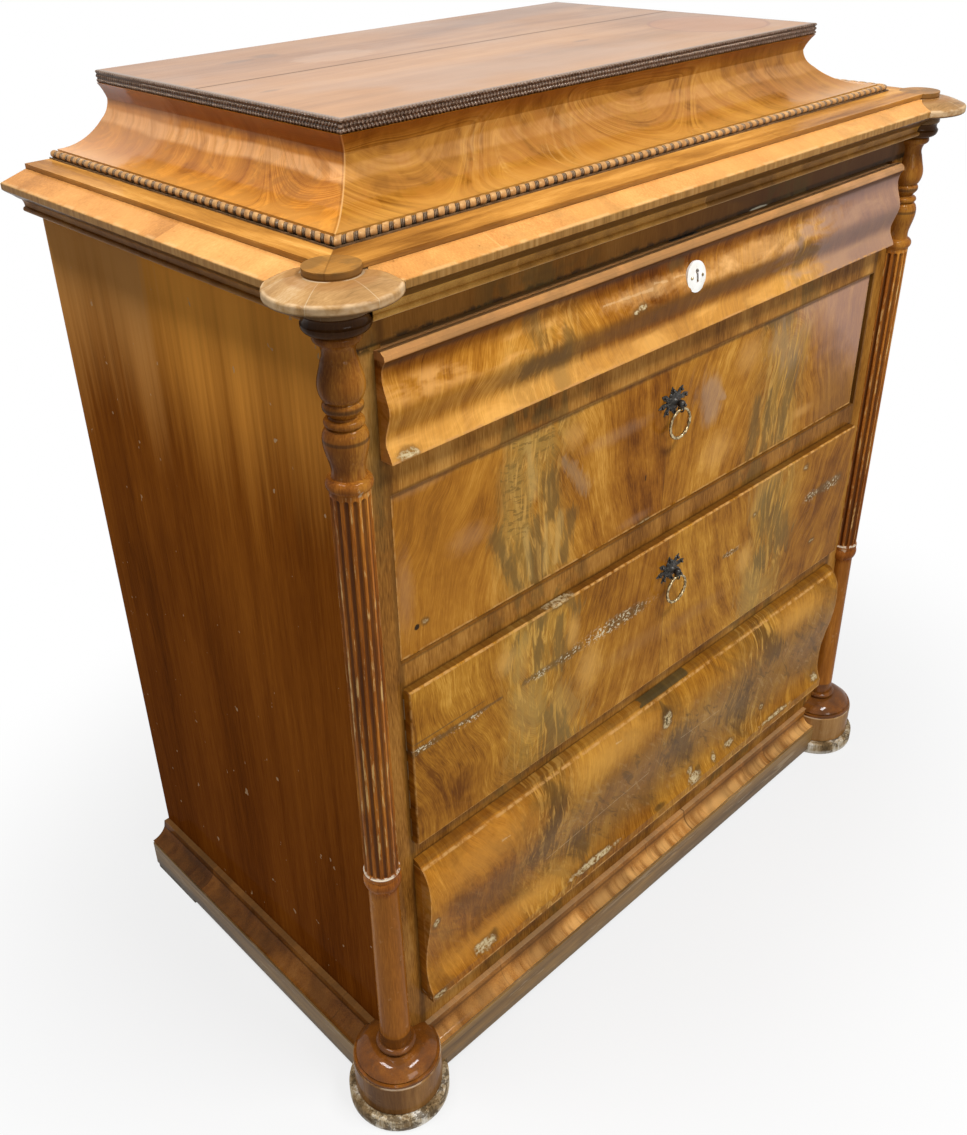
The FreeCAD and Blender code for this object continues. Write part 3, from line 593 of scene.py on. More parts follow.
# %% Drawer 4: the swelling front
finish, x, y, z = start("swelling_front_walnut")
pores, torn = crotch_figure(finish, middle=0.26, seed=4.3, rise=-0.5, strength=0.25)
smears = finish.join(x + z * 0.8, y, z - x * 0.15)
cloudy = finish.noise((14, 3, 9), 4.0, 0.66, 0.6, at=smears) - 0.5
rubbed = finish.noise((70, 20, 26), 4.0, 0.68, 0.6, at=smears)
middle_zone = band(z + cloudy * 0.06 - x * 0.03, 0.245, 0.09, 0.045)
middle_zone = middle_zone * (0.4 + 0.6 * step(x, -0.3, -0.08))
finish.paint(middle_zone * 0.55, (0.24, 0.118, 0.024))
finish.paint(step(cloudy, 0.0, 0.14) * 0.42, (0.14, 0.064, 0.012))
finish.paint(middle_zone * step(rubbed, 0.54, 0.66) * 0.36, (0.5, 0.31, 0.12))
finish.paint(middle_zone * (1 - step(rubbed, 0.34, 0.46)) * 0.55, (0.09, 0.045, 0.012))
smudge(finish, [
    (-350, 336, 75, 28), (-115, 345, 80, 22), (330, 345, 60, 18), (-300, 176, 120, 16)],
    (0.66, 0.34, 0.07), 0.55, soft=0.9)
orange_left = 1 - step(x + cloudy * 0.2, -0.34, -0.16)
finish.darken(orange_left * 0.7, (1.0, 0.82, 0.6))
dark = finish.strokes([
    (-236, 362, -218, 326, 10, 14), (-218, 326, -243, 258, 13, 22), (232, 356, 275, 305, 14, 18),
    (-6, 362, 2, 336, 2.5, 8), (200, 236, 220, 206, 30, 20), (-165, 215, -150, 190, 20, 16),
    (40, 266, 70, 230, 30, 24)], torn)
finish.paint(dark * 0.62, (0.075, 0.04, 0.013))
edge_wear(finish, low=0.1415, high=0.3668, half=0.4426, face=-0.257, top=0.95, bottom=0.9,
          dull=0.45)
scratches = finish.strokes([
    (-323, 337, -311, 336, 1.2, 1.2), (-230, 226, -20, 242, 0.6, 0.8), (-105, 353, -95, 352, 1, 1),
    (45, 270, 140, 264, 0.6, 0.6)], finish.ragged, rough=5.0)
finish.paint(scratches * 0.4, (0.62, 0.46, 0.25))
green_dirt = band(x + finish.ragged * 0.02, 0.012, 0.1, 0.004) * step(z, 0.369, 0.3696)
finish.paint(green_dirt * 0.72, (0.036, 0.038, 0.018))
soot = finish.spots([(0, 336, 12, 16), (-330, 166, 8, 8), (107, 166, 6, 10), (12, 158, 12, 4)])
finish.paint(soot * 0.6, grime_and_shade)
chips = chip(finish, [
    (-431, 146, 10, 4), (-349, 164, 18, 7), (-138, 158, 46, 3.5), (96, 158, 12, 8), (89, 174, 5, 6),
    (146, 166, 4, 8), (186, 169, 10, 4), (276, 187, 5, 4), (310, 156, 34, 2.4), (428, 165, 8, 6),
    (2, 330, 8, 11), (-433, 279, 4, 7)], strength=0.85)
dress(polish(finish, pores, chips), "drawer_4_front")
print("faced four drawer fronts")

# %% [markdown]
# ## The frame round the drawers
# The rails and posts are veneered too, with short upright grain on the rails. A slow change of
# tone hides how regular a noise is, and painted shade darkens the gaps where rails and posts
# meet the drawers.

# %% Rails and posts
finish, x, y, z = start("frame_walnut")
noises = grain(finish, finish.shift(5.1), line=42, cloud=9, length=5.0)
tones = [(0.15, 0.05, 0.007), (0.29, 0.108, 0.016), (0.42, 0.172, 0.028), (0.55, 0.255, 0.055)]
stain(finish, noises, tones, (0.7, 0.6, 1.1))
frieze = step(z, 1.0065, 1.0085)
frieze_patches = step(finish.noise((7, 3, 30), 3.0, 0.5, 0.6), 0.42, 0.62)
finish.paint(frieze * 0.65, (0.22, 0.078, 0.01))
to_right = step(x + (frieze_patches - 0.5) * 0.2, -0.25, 0.1)
finish.paint(frieze * to_right * 0.75, (0.1, 0.04, 0.016))
# Chips along the frieze's lower edge, through which painted shade of the gap shows.
ragged_edge = band(z, 1.008, 0.003, 0.006) * step(finish.noise((60, 10, 60), 4.0, 0.7), 0.46, 0.58)
finish.paint(ragged_edge * 0.8, grime_and_shade)
gap_top = z - step(x, -0.1, 0.2) * 0.003
shadow_gap = frieze * (1 - step(gap_top, 1.0085, 1.012))
finish.paint(shadow_gap * 0.75, grime_and_shade)
streaks = band((x - joint_place).abs(), streak_place, 0.1, 0.06)
rails_only = 1 - step(x.abs(), 0.44, 0.446)
olive_patch = streaks * rails_only * step(finish.noise((26, 6, 12), 4.0, 0.6, 1.0), 0.47, 0.6)
finish.paint(olive_patch * 0.5, olive)
green = finish.spots([(-458, 905, 10, 90), (-452, 970, 6, 50)], soft=0.7)
finish.paint(green * 0.5, (0.06, 0.052, 0.018))
dents = step(finish.noise(26, 4.0, 0.8), 0.7, 0.74)
finish.paint(dents * 0.4, worn)
rail_edges = (0.1395, 0.3765, 0.404, 0.6245, 0.656, 0.855, 0.898)
# Painted shade in the gaps along the rails' edges.
gap_shade = largest(band(z, edge, 0.0016, 0.003) for edge in rail_edges)
finish.paint(gap_shade * rails_only * 0.6, dark_brown)
# Painted shade in the gaps beside the posts.
post_edge = band(x.abs(), 0.444, 0.003, 0.005)
finish.paint(post_edge * 0.55, dark_brown)
old_paint = finish.spots([(135, 1008.5, 16, 1.8)], soft=0.3)
finish.paint(old_paint * 0.8, chalk)
finish.darken(1.0, (0.86, 0.93, 1.0))
dress(polish(finish, noises[0], dents), "corner_posts", "frieze_rail",
      "upper_rail", "middle_rail", "lower_rail", "bottom_rail")

# %% [markdown]
# ## The side panels
# Each side is one wide sheet of straight walnut, darker and redder than the fronts. A painted glare
# makes it lighter near the top and painted shade darkens its foot, so a slow change with height
# goes over the stripes. A few pale nicks break the polish.

# %% Side panels
finish, x, y, z = start("side_walnut")
at = finish.shift(8.3)
pores, stripes, clouds = grain(finish, at, fine=820, line=75, cloud=6, length=2.2)
wide = finish.noise((14, 16, 0.8), 2.0, 0.5, 0.3, at=at)
streaks = finish.noise((90, 105, 1.8), 3.0, 0.6, at=at)
tones = [(0.1, 0.026, 0.0025), (0.19, 0.052, 0.004), (0.27, 0.082, 0.007), (0.36, 0.125, 0.012)]
stain(finish, (pores, stripes, clouds, wide, streaks), tones, (0.45, 0.3, 0.5, 0.46, 0.22))
# Painted shade: the colour darkens towards the foot.
height_up = step(z, 0.15, 1.05)
finish.darken((1 - height_up) * 0.9, (0.66, 0.58, 0.62))
# Painted glare: the upper part is lighter and more orange.
upper = step(z + (wide - 0.5) * 0.28 + (streaks - 0.5) * 0.14, 0.76, 1.08)
finish.paint(upper * 0.9, (0.82, 0.345, 0.055))
rear = step(y + (streaks - 0.5) * 0.12 + (wide - 0.5) * 0.08, 0.06, 0.11)
finish.paint(rear * upper * 0.55, (0.36, 0.2, 0.09))
nicks = step(finish.noise((75, 75, 60), 2.0, 0.5), 0.735, 0.755)
finish.paint(nicks * 0.7, (0.45, 0.3, 0.16))
dress(polish(finish, pores, nicks, shine=0.012, gloss=0.26, level=0.0), "side_panel_left",
      "side_panel_right")

# %% [markdown]
# ## Cornice, step and fascia
# The cornice is cross-banded: short pieces of veneer are glued side by side, with their grain
# across the run. Each piece is a little lighter or darker, and a thin pale line shows at some
# of the joints. The floor of run / width gives each piece its own number, which a noise turns
# into its tone.


# %% Cross-banded mouldings
def cross_banded(finish, run, outwards, piece_width, tones, seed, joint_tint=worn, middle=0.5,
                 contrast=1.0):
    """Short pieces of veneer side by side, with the grain across the run."""
    turn_across = finish.join(run + seed, finish.z * 1.2, outwards + finish.z * 0.8)
    noises = grain(finish, turn_across, fine=800, line=48, cloud=9, length=9.0)
    scaled = run / piece_width
    number = scaled.math("FLOOR")
    piece_tone = finish.add("ShaderNodeTexWhiteNoise", {"noise_dimensions": "1D"},
                            {"W": number + seed})
    weights = (0.45, 0.55 * contrast, 0.85 * contrast, 0.24 * contrast)
    stain(finish, (*noises, piece_tone), tones, weights, middle=middle)
    joint = band((scaled - number - 0.5).abs(), 0.5, 0.0009 / piece_width, 0.0009 / piece_width)
    shown = step(finish.noise(30, 2.0), 0.42, 0.56)
    finish.paint(joint * shown * 0.5, joint_tint)
    return noises[0]


column_x = 0.4895
column_y = -0.2435


def from_axis(finish):
    """The distance from the nearer column's axis, and the angle round it."""
    across = finish.x.abs() - column_x
    along = finish.y - column_y
    away = finish.length(across, along)
    return away, finish.math("ARCTAN2", across, along)


finish, x, y, z = start("cornice_walnut")
run, outwards, side, mitre = round_three_sides(finish)
slope_tones = [(0.3, 0.125, 0.032), (0.48, 0.21, 0.055), (0.6, 0.285, 0.082), (0.7, 0.37, 0.125)]
pores = cross_banded(finish, run, outwards, 0.165, slope_tones, seed=2.2, contrast=0.6)
stained_patches = step(finish.noise((13, 13, 20), 4.0, 0.62, 0.8), 0.5, 0.62) * (1 - side)
finish.paint(stained_patches * 0.4, (0.26, 0.155, 0.045))
redder = step(finish.noise(6, 2.0, at=finish.shift(4.4)), 0.45, 0.6) * (1 - side)
finish.paint(redder * 0.4, (0.52, 0.235, 0.06))
nose = 1 - step(z, 1.0735, 1.0748)
nose_lines = finish.noise((240, 240, 8), 3.0, 0.6)
nose_colour = finish.ramp(nose_lines, [(0.3, (0.17, 0.092, 0.026)), (0.5, (0.3, 0.165, 0.048)),
                                       (0.72, (0.42, 0.26, 0.1))])
finish.paint(nose * 0.75, nose_colour)
# Painted shade under the nose of the cornice.
under = 1 - step(z, 1.0655, 1.0672)
finish.paint(under * 0.75, dark_brown)
arris = band(z, 1.0743, 0.0008, 0.0012) * step(finish.noise(50, 3.0), 0.45, 0.55)
finish.paint(arris * 0.25, (0.66, 0.46, 0.22))
finish.paint(mitre * 0.4, chalk)
finish.darken(nose, (0.8, 0.76, 0.68))
dents = step(finish.noise(60, 4.0, 0.7), 0.7, 0.73)
finish.paint(dents * 0.5, dark_brown)
dress(polish(finish, pores, dents, shine=0.12), "cornice_front", "cornice_sides")

# %% Step board and fascia
finish, x, y, z = start("step_walnut")
run, outwards, side, mitre = round_three_sides(finish)
step_tones = [(0.16, 0.06, 0.01), (0.28, 0.116, 0.02), (0.41, 0.182, 0.034), (0.56, 0.285, 0.07)]
turned_grain = finish.join(outwards * 1.2 + 3.0, z, run * 0.6)
noises = grain(finish, turned_grain, fine=800, cloud=16, length=9.0)
stain(finish, noises, step_tones, (0.35, 0.7, 1.0))
pores = noises[0]
boss, _ = from_axis(finish)
boss_top = 1 - step(boss, 0.0254, 0.0258)
boss_stain = step(finish.noise(40, 3.0, 0.6), 0.42, 0.58)
finish.paint(boss_top * (0.45 + boss_stain * 0.4), (0.17, 0.085, 0.025))
boss_side = (1 - step(boss, 0.0262, 0.0266)) * (1 - step(z, 1.088, 1.089))
finish.paint(boss_side * 0.4, (0.1, 0.05, 0.018))
step_face = 1 - step(z, 1.0872, 1.0886)
finish.paint(step_face * 0.42, (0.22, 0.1, 0.028))
# Painted shade where the step board meets the cornice.
foot_line = 1 - step(z, 1.0842, 1.085)
finish.paint(foot_line * 0.7, dark_brown)
finish.paint(mitre * 0.4, dark_brown)
dress(polish(finish, pores), "step_board")

finish, x, y, z = start("fascia_walnut")
run, outwards, side, mitre = round_three_sides(finish)
fascia_tones = [(0.19, 0.082, 0.016), (0.34, 0.155, 0.03), (0.48, 0.232, 0.045), (0.62, 0.34, 0.08)]
pores = cross_banded(finish, run, outwards, 0.29, fascia_tones, seed=7.7, middle=0.48)
fascia_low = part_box("fascia_moulding")[0]
bead_line = band(z, fascia_low.z + 0.0075, 0.0018, 0.0022)
finish.paint(bead_line * 0.55, (0.6, 0.38, 0.16))
finish.darken(side, (0.62, 0.52, 0.44))
dress(polish(finish, pores), "fascia_moulding")

# %% [markdown]
# ## The great hollow
# The raised top stands on a deep hollow moulding, faced with the boldest flame figure. Near the
# corner its lines bend into nested arcs. An arc pattern is a distance from a point, so that the
# noise is read along rings, and a soft mask hands over from the rings to slanting lines.

# %% Cavetto
finish, x, y, z = start("cavetto_walnut")
run, outwards, side, mitre = round_three_sides(finish)
rise = z - 1.09
wobble = finish.noise((7, 7, 14), 3.0, at=finish.shift(1.1)) - 0.5
bent = run + rise * 0.55 * (1 - side) - rise * 0.35 * side + wobble * 0.05


def arcs(finish, run, rise, centre, height, reach):
    """A distance from a point on the front, and a mask that shows only the arcs below it."""
    across = (run - centre) * 0.62
    up = rise - height
    away = (across * across + up * up).math("SQRT")
    below = 1 - step(up + wobble * 0.02, -0.016, 0.0)
    return away, (1 - step(away, reach * 0.6, reach)) * below


first, first_mask = arcs(finish, run, rise, -0.318, 0.066, 0.085)
second, second_mask = arcs(finish, run, rise, 0.035, 0.07, 0.075)
on_front = 1 - side
third, third_mask = arcs(finish, run, rise, 1.9, 0.068, 0.065)
third_mask = third_mask * 0.6
across = bent * (1 - first_mask * on_front) + first * 1.5 * first_mask * on_front
across = across * (1 - second_mask * on_front) + (second * 1.4 + 0.7) * second_mask * on_front
across = across * (1 - third_mask * side) + third * 1.4 * third_mask * side
flame_place = finish.join(across, z * 0.35, run * 0.5)
pores = finish.noise((640, 60, 40), 3.0, 0.7, at=flame_place)
stripes = finish.noise((120, 20, 9), 4.0, 0.6, 0.3, at=flame_place)
blotches = finish.noise((26, 26, 20), 4.0, 0.6, 0.8, at=finish.shift(1.7)) - 0.5
clouds = finish.noise((24, 14, 5), 3.0, 0.55, 0.4, at=flame_place) + blotches * 0.9
tones = [(0.2, 0.07, 0.008), (0.36, 0.15, 0.022), (0.5, 0.23, 0.04), (0.66, 0.35, 0.085)]
stain(finish, (pores, stripes, clouds), tones, (0.34, 0.3, 0.84), middle=0.51)
# Painted shade: the front face is darkened against the sides.
finish.darken(on_front, (0.7, 0.66, 0.5))
finish.darken(side, (1.0, 0.82, 0.52))
fan = finish.join(run - rise * 0.9 + wobble * 0.03, z * 0.2, 3.0)
fan_noise = finish.noise((42, 12, 1), 4.0, 0.7, 0.6, at=fan)
rays = step(fan_noise, 0.5, 0.66)
finish.paint(rays * on_front * band(run, -0.17, 0.1, 0.1) * 0.26, (0.6, 0.36, 0.11))
low_patches = step(blotches + 0.5 - rise * 3.0, 0.4, 0.5)
finish.paint(low_patches * (0.5 + side * 0.14), (0.26, 0.092, 0.012))
high_patches = step(clouds * 0.5 + rise * 1.5, 0.3, 0.36) * side
finish.paint(high_patches * 0.15, (0.3, 0.1, 0.012))
sheen_height = band(rise + wobble * 0.012, 0.036, 0.008, 0.004)
sheen_streaks = step(stripes * 0.5 + fan_noise * 0.5, 0.36, 0.6)
sheen = sheen_height * (0.25 + 0.75 * side) * (0.35 + sheen_streaks * 0.65)
finish.paint(sheen * 0.46, (0.95, 0.54, 0.24))
# Painted shade under the ripple strip.
under_ripple = step(z + wobble * 0.006 - on_front * 0.01, 1.132, 1.156)
finish.paint(under_ripple * 0.74, (0.25, 0.078, 0.006))
rear_bloom = side * step(y + blotches * 0.1, 0.145, 0.18)
finish.paint(rear_bloom * 0.42, (0.5, 0.25, 0.115))
# Painted highlight: a golden band along the foot of the hollow.
foot_gold = 1 - step(rise, 0.004, 0.014)
finish.paint(foot_gold * 0.35, (0.7, 0.38, 0.1))
ridge = band(x.abs() + y - 0.25, 0.0, 0.0006, 0.0014)
finish.paint(ridge * 0.5, (0.6, 0.36, 0.14))
ridge_dark = band(x.abs() + y - 0.2525, 0.0, 0.001, 0.0015)
finish.paint(ridge_dark * 0.3, dark_brown)
dress(polish(finish, pores, shine=0.2, gloss=0.24, level=0.06), "cavetto_front", "cavetto_sides")

# %% [markdown]
# ## The top board
# The top is two straight sheets with the grain along the chest, dulled by a century of cups
# and dusting. One joint has opened into a dark line, a hot dish has left a reddish disc, and a
# few stains have soaked in. Each mark is one distance or one band, blended over the wood.

# %% Top board
finish, x, y, z = start("top_walnut")
swirl = finish.noise((3, 5, 3), 2.0, at=finish.shift(2.0)) - 0.5
at = finish.join(y + swirl * 0.05, z, x)
pores, stripes, clouds = grain(finish, at, line=55, length=2.4)
tones = [(0.15, 0.062, 0.02), (0.25, 0.112, 0.04), (0.34, 0.165, 0.064), (0.43, 0.23, 0.1)]
stain(finish, (pores, stripes, clouds), tones, (0.4, 0.5, 1.0))
front_glow = 1 - step(y, -0.1, 0.16)
finish.paint(front_glow * 0.3, (0.47, 0.23, 0.068))
bloom = step(finish.noise((3.5, 6, 3), 3.0, 0.55, 0.5, at=finish.shift(3.3)), 0.46, 0.66)
finish.paint(bloom * 0.35, (0.36, 0.24, 0.17))
crack_wave = (finish.noise((5, 1, 1), 2.0) - 0.5) * 0.006
crack_place = y - 0.105 - crack_wave + (x + 0.375) * 0.012
crack = band(crack_place, 0.0, 0.0013, 0.001)
finish.paint(band(crack_place, 0.0, 0.006, 0.006) * 0.25, dark_brown)
finish.paint(crack * 0.9, grime_and_shade)
from_dish = finish.length(x - 0.308, y + 0.03)
dish = 1 - step(from_dish + finish.ragged * 0.006, 0.074, 0.0785)
dish_rim = band(from_dish, 0.0765, 0.002, 0.0025)
finish.paint(dish * 0.5, (0.32, 0.125, 0.045))
finish.paint(dish_rim * 0.6, (0.2, 0.065, 0.025))


def top_stain(*mark, soft=0.5):
    """An oval on the top board, in millimetres: x, y, half width and half depth."""
    across, back, wide, deep = [value / 1000 for value in mark]
    off = finish.join(x - across, y - back, 0.0)
    place = finish.vector("DIVIDE", off, (wide, deep, 1))
    away = finish.vector("LENGTH", place, out="Value") + finish.ragged
    return 1 - step(away, 1 - soft, 1 + soft)


stain_marks = [(-253, 221, 22, 8), (-210, 229, 18, 12), (-343, 31, 12, 4), (98, 4, 14, 4),
               (357, 206, 20, 10)]
stains = largest(top_stain(*mark) for mark in stain_marks)
finish.paint(stains * 0.5, (0.1, 0.055, 0.03))
pale_ring = top_stain(-160, 160, 55, 30, soft=0.15) * 0.25
finish.paint(pale_ring, (0.52, 0.36, 0.25))
finish.darken(1.0, (0.88, 0.86, 0.86))
dress(polish(finish, pores, crack, shine=0.12, gloss=0.34, level=0.34), "top_board")
print("finished the frame, the cornice, the hollow and the top")

# %% [markdown]
# ## Turned wood
# Columns, capital discs and drums are turned, so dirt lies in their grooves and the polish has
# worn off where they stand proud. The distance from the column's axis tells ridges from
# flutes: worn flecks go on what is far out, and dark wax on what is close in.

# %% Turned wood
finish, x, y, z = start("column_walnut")
away, _ = from_axis(finish)
noises = grain(finish, finish.shift(9.4), line=70, cloud=14, length=4.0)
tones = [(0.13, 0.034, 0.004), (0.24, 0.07, 0.009), (0.37, 0.122, 0.016), (0.56, 0.225, 0.03)]
stain(finish, noises, tones, (0.5, 0.6, 0.9))
fluted = band(z, 0.6395, 0.483, 0.002)
flute_dirt = fluted * (1 - step(away, 0.0172, 0.0188))
finish.paint(flute_dirt * 0.75, (0.055, 0.018, 0.005))
flecks = step(finish.noise((170, 170, 26), 4.0, 0.65), 0.52, 0.62)
crest = fluted * step(away, 0.0189, 0.0194)
finish.paint(crest * flecks * 0.8, (0.6, 0.37, 0.13))
rubbed = step(finish.noise((60, 60, 40), 4.0, 0.7), 0.6, 0.68)
finish.paint((1 - fluted) * rubbed * 0.3, (0.55, 0.33, 0.15))
rings = band(z, 0.382, 0.02, 0.003).larger(band(z, 0.886, 0.008, 0.002))
finish.paint(rings * rubbed * 0.6, (0.62, 0.48, 0.32))
lip_breaks = step(finish.noise((120, 120, 60), 3.0, 0.7), 0.4, 0.52)
lip_line = band(z, 0.3974, 0.0014, 0.0012) * step(away, 0.018, 0.0186) * lip_breaks
finish.paint(lip_line * 0.85, (0.72, 0.64, 0.5))
below_ring = 1 - step(z, 0.362, 0.371)
finish.paint(below_ring * 0.3, (0.34, 0.14, 0.018))
collar = step(z, 1.03, 1.036)
finish.paint(collar * 0.8, (0.045, 0.022, 0.01))
upper_part = step(z, 0.87, 0.9)
finish.darken(upper_part, (0.6, 0.62, 0.62))
grooves = band(z, 0.9335, 0.0014, 0.002).larger(band(z, 0.964, 0.0014, 0.0022))
finish.paint(grooves * 0.6, grime_and_shade)
foot_part = 1 - step(z, 0.116, 0.12)
foot_stain = step(finish.noise((26, 26, 40), 4.0, 0.65, 0.8), 0.42, 0.6)
finish.darken(foot_part * 0.8, (0.46, 0.4, 0.42))
finish.paint(foot_part * foot_stain * 0.55, (0.085, 0.034, 0.012))
dress(polish(finish, noises[0], rubbed * 0.3, shine=0.1 + foot_part * 0.25, gloss=0.24, level=0.01),
      "column_left", "column_right")

finish, x, y, z = start("disc_walnut")
away, angle = from_axis(finish)
noises = grain(finish, finish.join(y, z, x), cloud=16, length=5.0)
tones = [(0.15, 0.078, 0.026), (0.27, 0.145, 0.052), (0.37, 0.21, 0.08), (0.46, 0.31, 0.16)]
stain(finish, noises, tones, (0.4, 0.5, 1.3), middle=0.48)
sector = step(angle, -1.7, -1.5) * (1 - step(angle, -0.7, -0.5))
finish.paint(sector * 0.35, (0.42, 0.33, 0.22))
joint_angle = ((angle * 0.9549).math("FRACT") - 0.5).abs()
joints = band(joint_angle, 0.5, 0.0, 0.0006 / away) * step(away, 0.026, 0.03)
finish.paint(joints * 0.35, chalk)
above = step(z, 1.0655, 1.0685)
rim_breaks = step(finish.noise(45, 3.0), 0.42, 0.6)
rim_wear = band(away, 0.059, 0.0016, 0.0022) * above * rim_breaks
finish.paint(rim_wear * 0.45, (0.66, 0.5, 0.32))
# Painted shade on the underside of the disc.
finish.paint((1 - above) * 0.7, (0.085, 0.04, 0.015))
glue = band(away, 0.0262, 0.001, 0.0014) * above * rim_breaks
finish.paint(glue * 0.6, chalk)
boss_side = step(z, 1.08, 1.0815) * step(away, 0.0242, 0.025)
finish.paint(boss_side * 0.4, red_brown)
dress(polish(finish, noises[0], rim_wear, shine=0.14), "capital_discs")

finish, x, y, z = start("drum_walnut")
away, _ = from_axis(finish)
noises = grain(finish, finish.shift(3.9), cloud=12, length=4.0)
tones = [(0.085, 0.034, 0.01), (0.17, 0.074, 0.02), (0.27, 0.128, 0.036), (0.4, 0.22, 0.08)]
stain(finish, noises, tones, (0.25, 0.5, 1.1), middle=0.47)
shoulder = step(z, 0.07, 0.0725)
shoulder_breaks = step(finish.noise(40, 3.0), 0.45, 0.6)
shoulder_rim = band(away, 0.0556, 0.0012, 0.002) * shoulder * shoulder_breaks
finish.paint(shoulder * 0.3, (0.3, 0.16, 0.06))
finish.paint(shoulder_rim * 0.6, (0.62, 0.55, 0.42))
scuffs = step(finish.noise((26, 26, 60), 4.0, 0.7), 0.56, 0.66)
finish.paint(scuffs * 0.3, (0.36, 0.22, 0.1))
dress(polish(finish, noises[0], scuffs * 0.5, shine=0.14), "foot_drums")

finish, x, y, z = start("worn_foot_wood")
noises = grain(finish, finish.shift(6.6), fine=500, cloud=20, length=6.0)
tones = [(0.1, 0.06, 0.022), (0.24, 0.155, 0.07), (0.44, 0.345, 0.215), (0.74, 0.69, 0.6)]
stain(finish, noises, tones, (0.5, 1.0, 1.4))
lower = 1 - step(z + finish.ragged * 0.01, 0.004, 0.01)
finish.paint(lower * 0.45, (0.76, 0.73, 0.66))
in_front = 1 - step(y, 0.1, 0.14)
chips = step(finish.noise((48, 48, 70), 4.0, 0.78, 0.5), 0.5, 0.57)
finish.paint(chips * 0.78, (0.07, 0.042, 0.016))
finish.paint((1 - in_front) * 0.75, (0.06, 0.045, 0.03))
normal = finish.bump(chips * -1.0 + noises[1], 0.0012, 0.8)
dress(finish.done(0.75, Normal=normal, Specular_IOR_Level=0.2), "foot_discs", "rear_feet")

# %% [markdown]
# ## Base and plinth
# The lower cove of the base moulding is painted bright orange as painted light, and its top fillet
# gets a lighter painted strip above a painted shadow line; its left side is painted in shade. The
# plinth below has lost nearly all its polish to mops and boots, so it is rough and greyish.

# %% Base and plinth
finish, x, y, z = start("base_walnut")
run, outwards, side, mitre = round_three_sides(finish)
base_tones = [(0.13, 0.05, 0.01), (0.28, 0.11, 0.022), (0.46, 0.195, 0.04), (0.62, 0.31, 0.085)]
pores = cross_banded(finish, run, outwards, 0.31, base_tones, seed=4.4, joint_tint=dark_brown,
                     middle=0.48)
lower = 1 - step(z, 0.058, 0.07)
across_run = finish.noise((60, 60, 4), 4.0, 0.65, 0.4, at=finish.join(run, outwards * 0.1, z))
near_foot = 1 - step(x, -0.36, -0.15)
# Painted light: the lower cove is painted bright orange, less on the sides.
cove_light = lower * (0.66 - side * 0.46) * (1 - near_foot * 0.6)
finish.paint(cove_light * step(across_run, 0.34, 0.6), (0.86, 0.48, 0.155))
shaded = step(finish.noise(9, 3.0, 0.6, at=finish.shift(5.5)), 0.48, 0.62)
finish.paint(shaded * 0.4, (0.16, 0.075, 0.022))
# Painted shadow line in the groove above the cove.
upper_groove = band(z, 0.0725, 0.0012, 0.0022)
finish.paint(upper_groove * 0.55, dark_brown)
arris = 1 - step(z, 0.053, 0.0545)
finish.paint(arris * 0.55, (0.28, 0.25, 0.2))
# Painted light on the top fillet.
lit_top_fillet = step(z, 0.0795, 0.0815)
finish.paint(lit_top_fillet * 0.35, (0.6, 0.4, 0.2))
butt = band(x, 0.095, 0.0012, 0.0012) * (1 - side)
finish.paint(butt * 0.7, dark_brown)
# Painted shade on the left side of the moulding.
left_side = side * (1 - step(x, -0.3, -0.2))
finish.darken(left_side * 0.84, (0.32, 0.23, 0.13))
dress(polish(finish, pores, shine=0.14), "base_moulding")

finish, x, y, z = start("plinth_walnut")
run, outwards, side, mitre = round_three_sides(finish)
at = finish.join(z, outwards, run * 0.8)
noises = grain(finish, at, fine=500, line=70, cloud=14)
tones = [(0.07, 0.034, 0.008), (0.18, 0.094, 0.024), (0.31, 0.172, 0.046), (0.44, 0.27, 0.09)]
stain(finish, noises, tones, (0.3, 0.6, 1.0), middle=0.52)
scrapes = step(finish.noise((10, 10, 90), 4.0, 0.7), 0.56, 0.66)
finish.paint(scrapes * 0.45, (0.44, 0.32, 0.18))
muddy = 1 - step(z + finish.ragged * 0.012, 0.012, 0.026)
finish.paint(muddy * 0.55, (0.08, 0.058, 0.036))
finish.darken(side * 0.45, (0.5, 0.52, 0.55))
normal = finish.bump(noises[1] - scrapes * 0.6, 0.0006, 0.8)
dress(finish.done(0.55, Normal=normal, Coat_Weight=0.06, Coat_Roughness=0.3,
                  Specular_IOR_Level=0.3), "plinth_front", "plinth_sides")

# %% [markdown]
# ## Plain pine
# What is never seen from outside is plain pine, without polish: late wood gives it narrow
# reddish stripes on a pale ground, and there is a little dust and age over all of it.


# %% Pine
stile_width = 0.07


